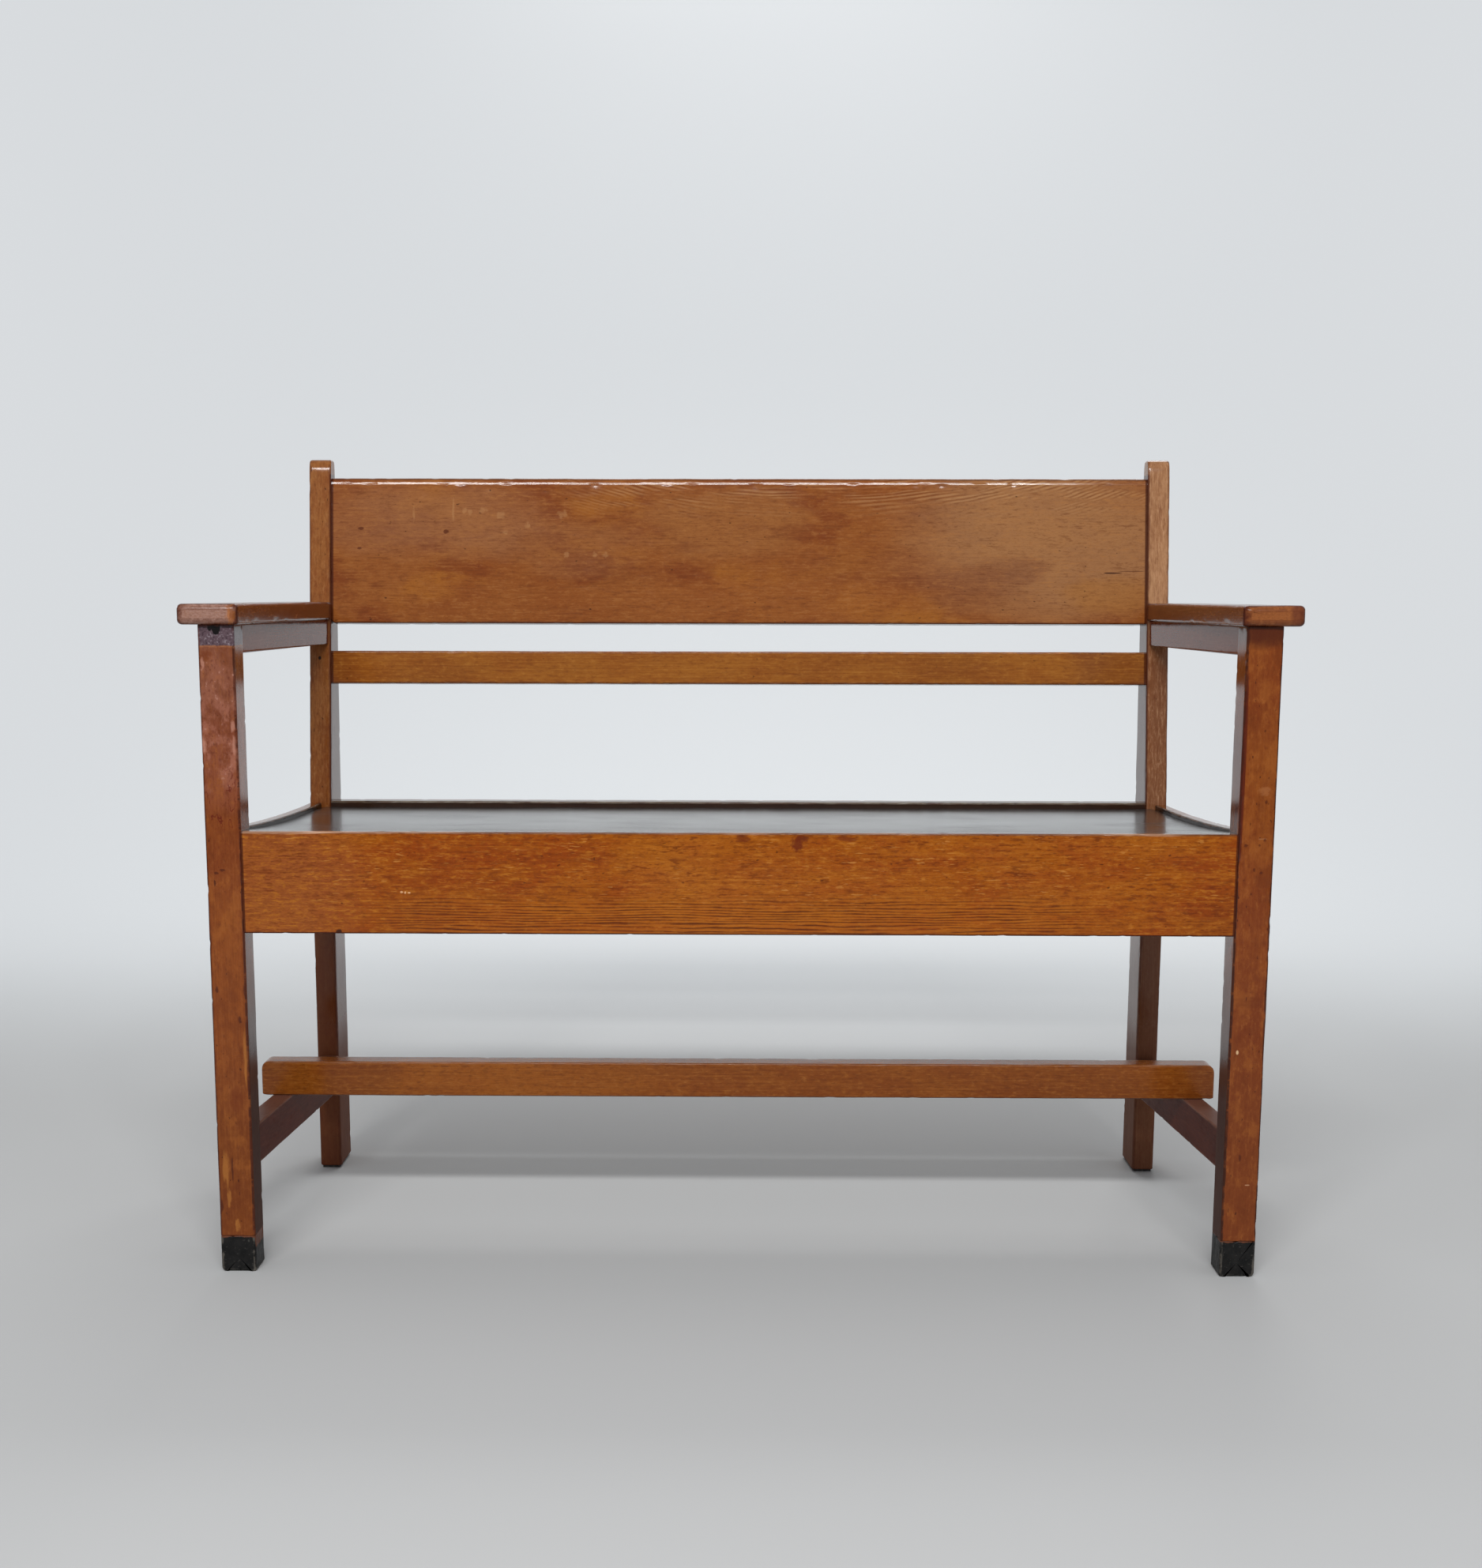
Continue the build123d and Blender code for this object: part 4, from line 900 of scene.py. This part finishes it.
def raked_board(name, corners, radii, seed, corner=0.0):
    """A board in the back: point = foot of the rake + x + a off_rake + b up_rake, where (a, b) runs round
    the outline. The lower edge of its left end is rounded up by the radius corner."""
    outline, outs, arris = section(corners, radii)
    places, _, _ = stations(2 * back_end, 0.005, 0.006, 0.0006)
    lifted = 0.02
    lift = corner - np.sqrt(corner**2 - (corner - places).clip(0) ** 2)
    a, b = outline.T
    b = b + lift[:, None] * ((b.min() + lifted - b) / lifted).clip(0, 1)
    points = (0, rear_y, rake_start) + (places - back_end)[:, None, None] * (1, 0, 0)
    points = points + a[:, None] * off_rake + b[..., None] * up_rake
    return carve(name, points, outs[:, :1] * off_rake + outs[:, 1:] * up_rake, arris,
                 grid_of(points[..., 0], b, a), (1, 0, 0), seed)


def front_only(*marks):
    """Marks that lie on the front of the raked boards and not on their backs."""
    def lay(under, at):
        _, y, z = at.parts()
        return under.over(under.marked(marks, at), (y - z * rake).rise(0.102, 0.097))
    return lay


def back_clouds(under, at):
    """Gold and ruddy clouds, a hand wide or less."""
    return under.over((160, 96, 32), at.cloud(7, 7, 11, 3.0, 0.55).rise(0.5, 0.66) * 0.75,
                      (116, 52, 16), at.cloud(13, 13, 26, 5.0, 0.62).rise(0.5, 0.64) * 0.75)


def arched_rings(under, at):
    """The loops of the yearly rings in the upper right half: a wave of (x - 0.1)^2 and the height."""
    x, _, z = at.parts()
    arch = (x - 0.1) ** 2 * 0.6 + (0.86 - z)
    rings = ((arch * 1500 + at.cloud(5, 5, 24, 3.0, 0.5) * 30).wave() * 0.5 + 0.5) ** 3
    where = x.rise(-0.25, -0.1) * z.rise(0.772, 0.808) * at.cloud(14, 14, 90).rise(0.42, 0.62)
    return under.over((104, 52, 22), rings * where * 0.4, (194, 148, 100), (1 - rings) ** 6 * where * 0.32)


def dark_edges(under, at):
    """The board's upper rear edge, darkened as a painted dark reflection, and a darker line along its lower
    arris.
    """
    uneven = at.parts()[2] + (at.cloud(25, 25, 25) - 0.5) * 0.003
    return under.over((88, 46, 20), uneven.rise(0.8222, 0.8245) * 0.75,
                      (74, 30, 10), uneven.rise(0.6595, 0.657) * 0.8)


board_joint = seam(0, 0.4795, 0.002, old_seam, 0.9)
board_finish = oak(
    "back_board_oak", (140, 78, 30), (98, 46, 16), (168, 110, 58), (126, 62, 20), dashes=0.42, lines=0.15,
    mottle=0.42, specks=0.8, gloss=0.11, relief=0.18,
    washes=[
        back_clouds,
        *blotches(
            (-360, 775, 130, 45, (148, 98, 64), 0.6, 0.45, 0.8),
            (-200, 745, 80, 30, (146, 94, 56), 0.35, 0.6, 0.8),
            (-20, 775, 90, 40, (154, 100, 52), 0.5, 0.5, 0.8),
            (370, 755, 170, 90, (160, 114, 74), 0.75, 0.35, 0.8),
            (330, 720, 40, 16, (120, 70, 44), 0.5, 0.7, 0.8),
            (270, 700, 60, 20, (124, 68, 36), 0.45, 0.7, 0.8),
            (440, 690, 50, 20, (160, 104, 48), 0.6, 0.6, 0.8),
            (160, 720, 70, 30, (128, 68, 30), 0.5, 0.6, 0.8),
            (20, 685, 200, 25, (150, 86, 34), 0.6, 0.5, 0.8))],
    marks=[
        front_only(
            arched_rings,
            *blotches(
                (439.5, 716.2, 10.5, 0.8, (60, 26, 12), 0.95, 0.5),
                (461.7, 718.3, 16, 0.6, (84, 42, 22), 0.7, 0.5)),
            *alike(
                (84, 34, 12), 0.8, 0.5, 0.5,
                (-444.8, 766.9, 3.5, 1.6), (-344.4, 763.4, 3.5, 2.2), (-446.7, 743.9, 2.5, 1.4)),
            *alike(
                (184, 134, 86), 0.34, 1.3, 0.9,
                (-382.5, 782.6, 1.1, 8), (-335.8, 788.2, 1.2, 12), (-322.6, 788.2, 2.8, 2.6),
                (-316.1, 786.4, 2.2, 3), (-300.2, 788.3, 4.5, 2.6), (-279.7, 782.8, 4.5, 4.2),
                (-248.5, 770.9, 3, 3.5), (-208, 783.8, 5, 4), (-202.6, 736.9, 3.2, 2.8),
                (-168.8, 736.5, 3, 3), (-156, 736.5, 3.4, 3), (-274.1, 762.6, 3, 2))),
        dark_edges,
        board_joint])
back_board = raked_board("worn_back_board", [
    (set_back, board_low), (board_rear, board_low), (board_rear, board_high), (set_back + 0.004, board_high),
    (set_back + 0.0005, board_high - 0.0042), (set_back, board_high - 0.0082)],
    [0.002, 0.002, 0.008, 0.0045, 0.004, 0.012], 101, 0.005)
place(back_board, board_finish, "back_oak", "back_board")

# The slat below it is narrow and more golden, shaded at its ends by the posts. It is planed from a
# thinner oak board and tenoned into the posts as the board above is.
slat_low, slat_high, slat_rear = 0.138, 0.1765, 0.0185
slat_finish = oak(
    "back_slat_oak", (154, 92, 28), (112, 56, 14), (172, 112, 44), (140, 76, 20), dashes=0.42, mottle=0.7,
    specks=0.7, rim=(96, 46, 14), rim_share=0.6,
    washes=blotches(
        (-475, 600, 30, 60, (116, 56, 18), 0.6, 0.3, 0.8),
        (470, 600, 70, 60, (122, 70, 34), 0.6, 0.3, 0.8)),
    marks=[board_joint])
back_slat = raked_board(
    "worn_back_slat", rectangle(set_back, slat_low, slat_rear, slat_high), [0.002] * 4, 107)
place(back_slat, slat_finish, "back_oak", "back_slat")

# Side stretchers join the front and rear legs near the floor. Their inner faces are in line with the
# rear legs' inner faces. Shoes have scuffed their tops.
stretcher_x, stretcher_half, stretcher_low, stretcher_top = 0.5165, 0.011, 0.097, 0.140
# painted shade: the side stretchers' oak is dark brown, as shade under the seat
side_stretcher_finish = oak(
    "side_stretcher_oak", (86, 34, 18), (58, 20, 10), (104, 52, 34), (72, 28, 14), dashes=0.4,
    rim=(140, 100, 84), rim_share=0.35, gloss=0.4, ior=1.18,
    marks=[seam(2, 0.1412, 0.0032, (132, 92, 76), 0.6, -2.0, 2.0, 0)])
for side, sign in sides:
    side_stretcher = beside_seat(
        f"worn_side_stretcher_{side}", nearing(stretcher_x, converging, leg_back_y, rear_y), stretcher_half,
        stretcher_low, stretcher_top, [0.0015] * 4, 111 + sign, sign, end=rear_y + into_joint)
    place(side_stretcher, side_stretcher_finish, "stretcher_oak", f"side_stretcher_{side}")

# The long stretcher lies on the side stretchers, screwed from below. It is a planed oak board on edge,
# and its upper ends are rounded.
long_half, long_y, long_depth, long_height, end_round = 0.527, front_y + 0.177, 0.026, 0.0385, 0.008
outline, outs, arris = section(
    rectangle(0, 0, long_depth, long_height), [0.0015, 0.0015, 0.0018, 0.0018])
places, first, last = stations(2 * long_half, 0.005, end_round, end_round)
drop = (first + last)[:, None]
ease = drop * 0.18
deep, high = outline.T
up_share = (high / (long_height - 0.002)).clip(0, 1)
in_share = 1 - 2 * (deep / long_depth).clip(0, 1)
points = grid_of((places - long_half)[:, None], long_y + deep + ease * in_share,
                 stretcher_top + high - drop * up_share + ease * (1 - up_share))
long_stretcher_finish = oak(
    "long_stretcher_oak", (142, 78, 22), (98, 46, 10), (160, 98, 40), (126, 62, 16), dashes=0.55,
    mottle=0.75, specks=0.6, rim=(140, 96, 66), rim_share=0.3, gloss=0.16,
    washes=blotches(
        (200, 159.5, 320, 50, (124, 62, 16), 0.4, 0.3, 0.8),
        (-250, 160, 160, 40, (156, 88, 24), 0.5, 0.5, 0.8),
        (-420, 160, 40, 30, (104, 50, 16), 0.5, 0.6, 0.8)),
    marks=[seam(2, 0.1405, 0.001, (66, 26, 10), 0.8, -2.0, 2.0, 0)])
long_stretcher = carve("worn_long_stretcher", points, grid_of(0, *outs.T), arris, points, (1, 0, 0), 121)
place(long_stretcher, long_stretcher_finish, "stretcher_oak", "long_stretcher")

# The bench stands on a plain pale floor that curves up into a plain backdrop and fades into the room's
# own colour all round. Both are painted, and count as the stage and not as the bench.
side_reach, bend, wall_y, floor_front, wall_top = 9, 1.2, 2.6, -6.0, 6.0
flat_run, turn_run = wall_y - bend - floor_front, bend * np.pi / 2
run = np.linspace(0, flat_run + turn_run + wall_top - bend, 120)
angle = ((run - flat_run) / bend).clip(0, np.pi / 2)
depth = floor_front + run.clip(0, flat_run) + bend * np.sin(angle)
height = bend * (1 - np.cos(angle)) + (run - flat_run - turn_run).clip(0)
floor_points = grid_of(np.linspace(-side_reach, side_reach, 3)[:, None], depth, height)
index = np.arange(floor_points[..., 0].size).reshape(-1, len(run))
quads = np.stack([index[:-1, :-1], index[1:, :-1], index[1:, 1:], index[:-1, 1:]], -1).reshape(-1, 4)
floor_mesh = smooth_mesh("pale_floor", floor_points.reshape(-1, 3), quads.tolist())
pale_floor = stand_up("pale_floor", floor_mesh)
room_haze = (217, 220, 223)
floor_finish, at = new_finish("pale_floor_paint")
x, y, _ = at.parts()
seen = at.make("LightPath", output="Is Camera Ray")
glow = y.rise(0.3, 1.9) * seen.most(at.make("LightPath", output="Is Glossy Ray"))
plain = at.make("BsdfPrincipled", {
    "Base Color": (194, 195, 195), "Roughness": 0.8, "IOR": 1.2, "Emission Strength": 1.0,
    "Emission Color": glow.between((0, 0, 0, 1), (141, 146, 150))})
haze = at.make("Emission", {"Color": room_haze, "Strength": 1.0})
surface = at.make("MixShader", {0: (x * x + y * y).rise(2.5, 11.0) * seen, 1: plain, 2: haze})
at.make("OutputMaterial", {"Surface": surface})
floor_mesh.materials.append(floor_finish)

# Light is a soft even room light, one long lamp high in front and a weak one high behind. The room
# itself is seen as pale as the backdrop.
room_light = (0.4, 0.407, 0.42, 1)
world = bpy.data.worlds.new("soft_room")
world.use_nodes = True
background = world.node_tree.nodes["Background"]
seen = Shade(world.node_tree).make("LightPath", output="Is Camera Ray")
room = seen.between(room_light, room_haze)
world.node_tree.links.new(room.socket, background.inputs["Color"])
background.inputs["Strength"].default_value = 1.0
bpy.context.scene.world = world
for name, stand, wide, high, power in (("long_lamp", (-0.2, -2.9, 2.75), 2.4, 0.3, 100),
                                       ("rear_lamp", (0.3, 2.2, 2.7), 1.8, 0.9, 30)):
    lamp_data = bpy.data.lights.new(name, "AREA")
    lamp_data.shape = "RECTANGLE"
    lamp_data.size, lamp_data.size_y, lamp_data.energy = wide, high, power
    lamp = stand_up(name, lamp_data)
    lamp.location = stand
    lamp.rotation_mode = "QUATERNION"
    lamp.rotation_quaternion = (Vector((0, 0, 0.5)) - Vector(stand)).to_track_quat("-Z", "Y")

# The camera stands where the photograph was taken: about two metres in front, a little above the arms,
# tilted down. Its lens and shift frame the bench as the photograph does.
photo_width, photo_height, film = 1876, 1985, 36
focal, middle_x, middle_y = 2441.10, 898.78, 1131.33
eye = (-0.0059671, front_y - 1.9003638, 0.6927647)
pitch, yaw, roll = 0.154833, -0.0115013, 0.0016752
aim = Matrix.Rotation(-yaw, 4, "Z") @ Matrix.Rotation(math.pi / 2 - pitch, 4, "X")
camera_data = bpy.data.cameras.new("camera")
camera_data.sensor_fit = "AUTO"
camera_data.sensor_width = film
camera_data.lens = film * focal / photo_height
camera_data.shift_x = (photo_width / 2 - middle_x) / photo_height
camera_data.shift_y = (middle_y - photo_height / 2) / photo_height
camera_data.clip_end = 50
camera = stand_up("camera", camera_data)
camera.matrix_world = Matrix.Translation(eye) @ aim @ Matrix.Rotation(roll, 4, "Z")
bpy.context.scene.camera = camera
bpy.context.scene.view_settings.view_transform = "Standard"
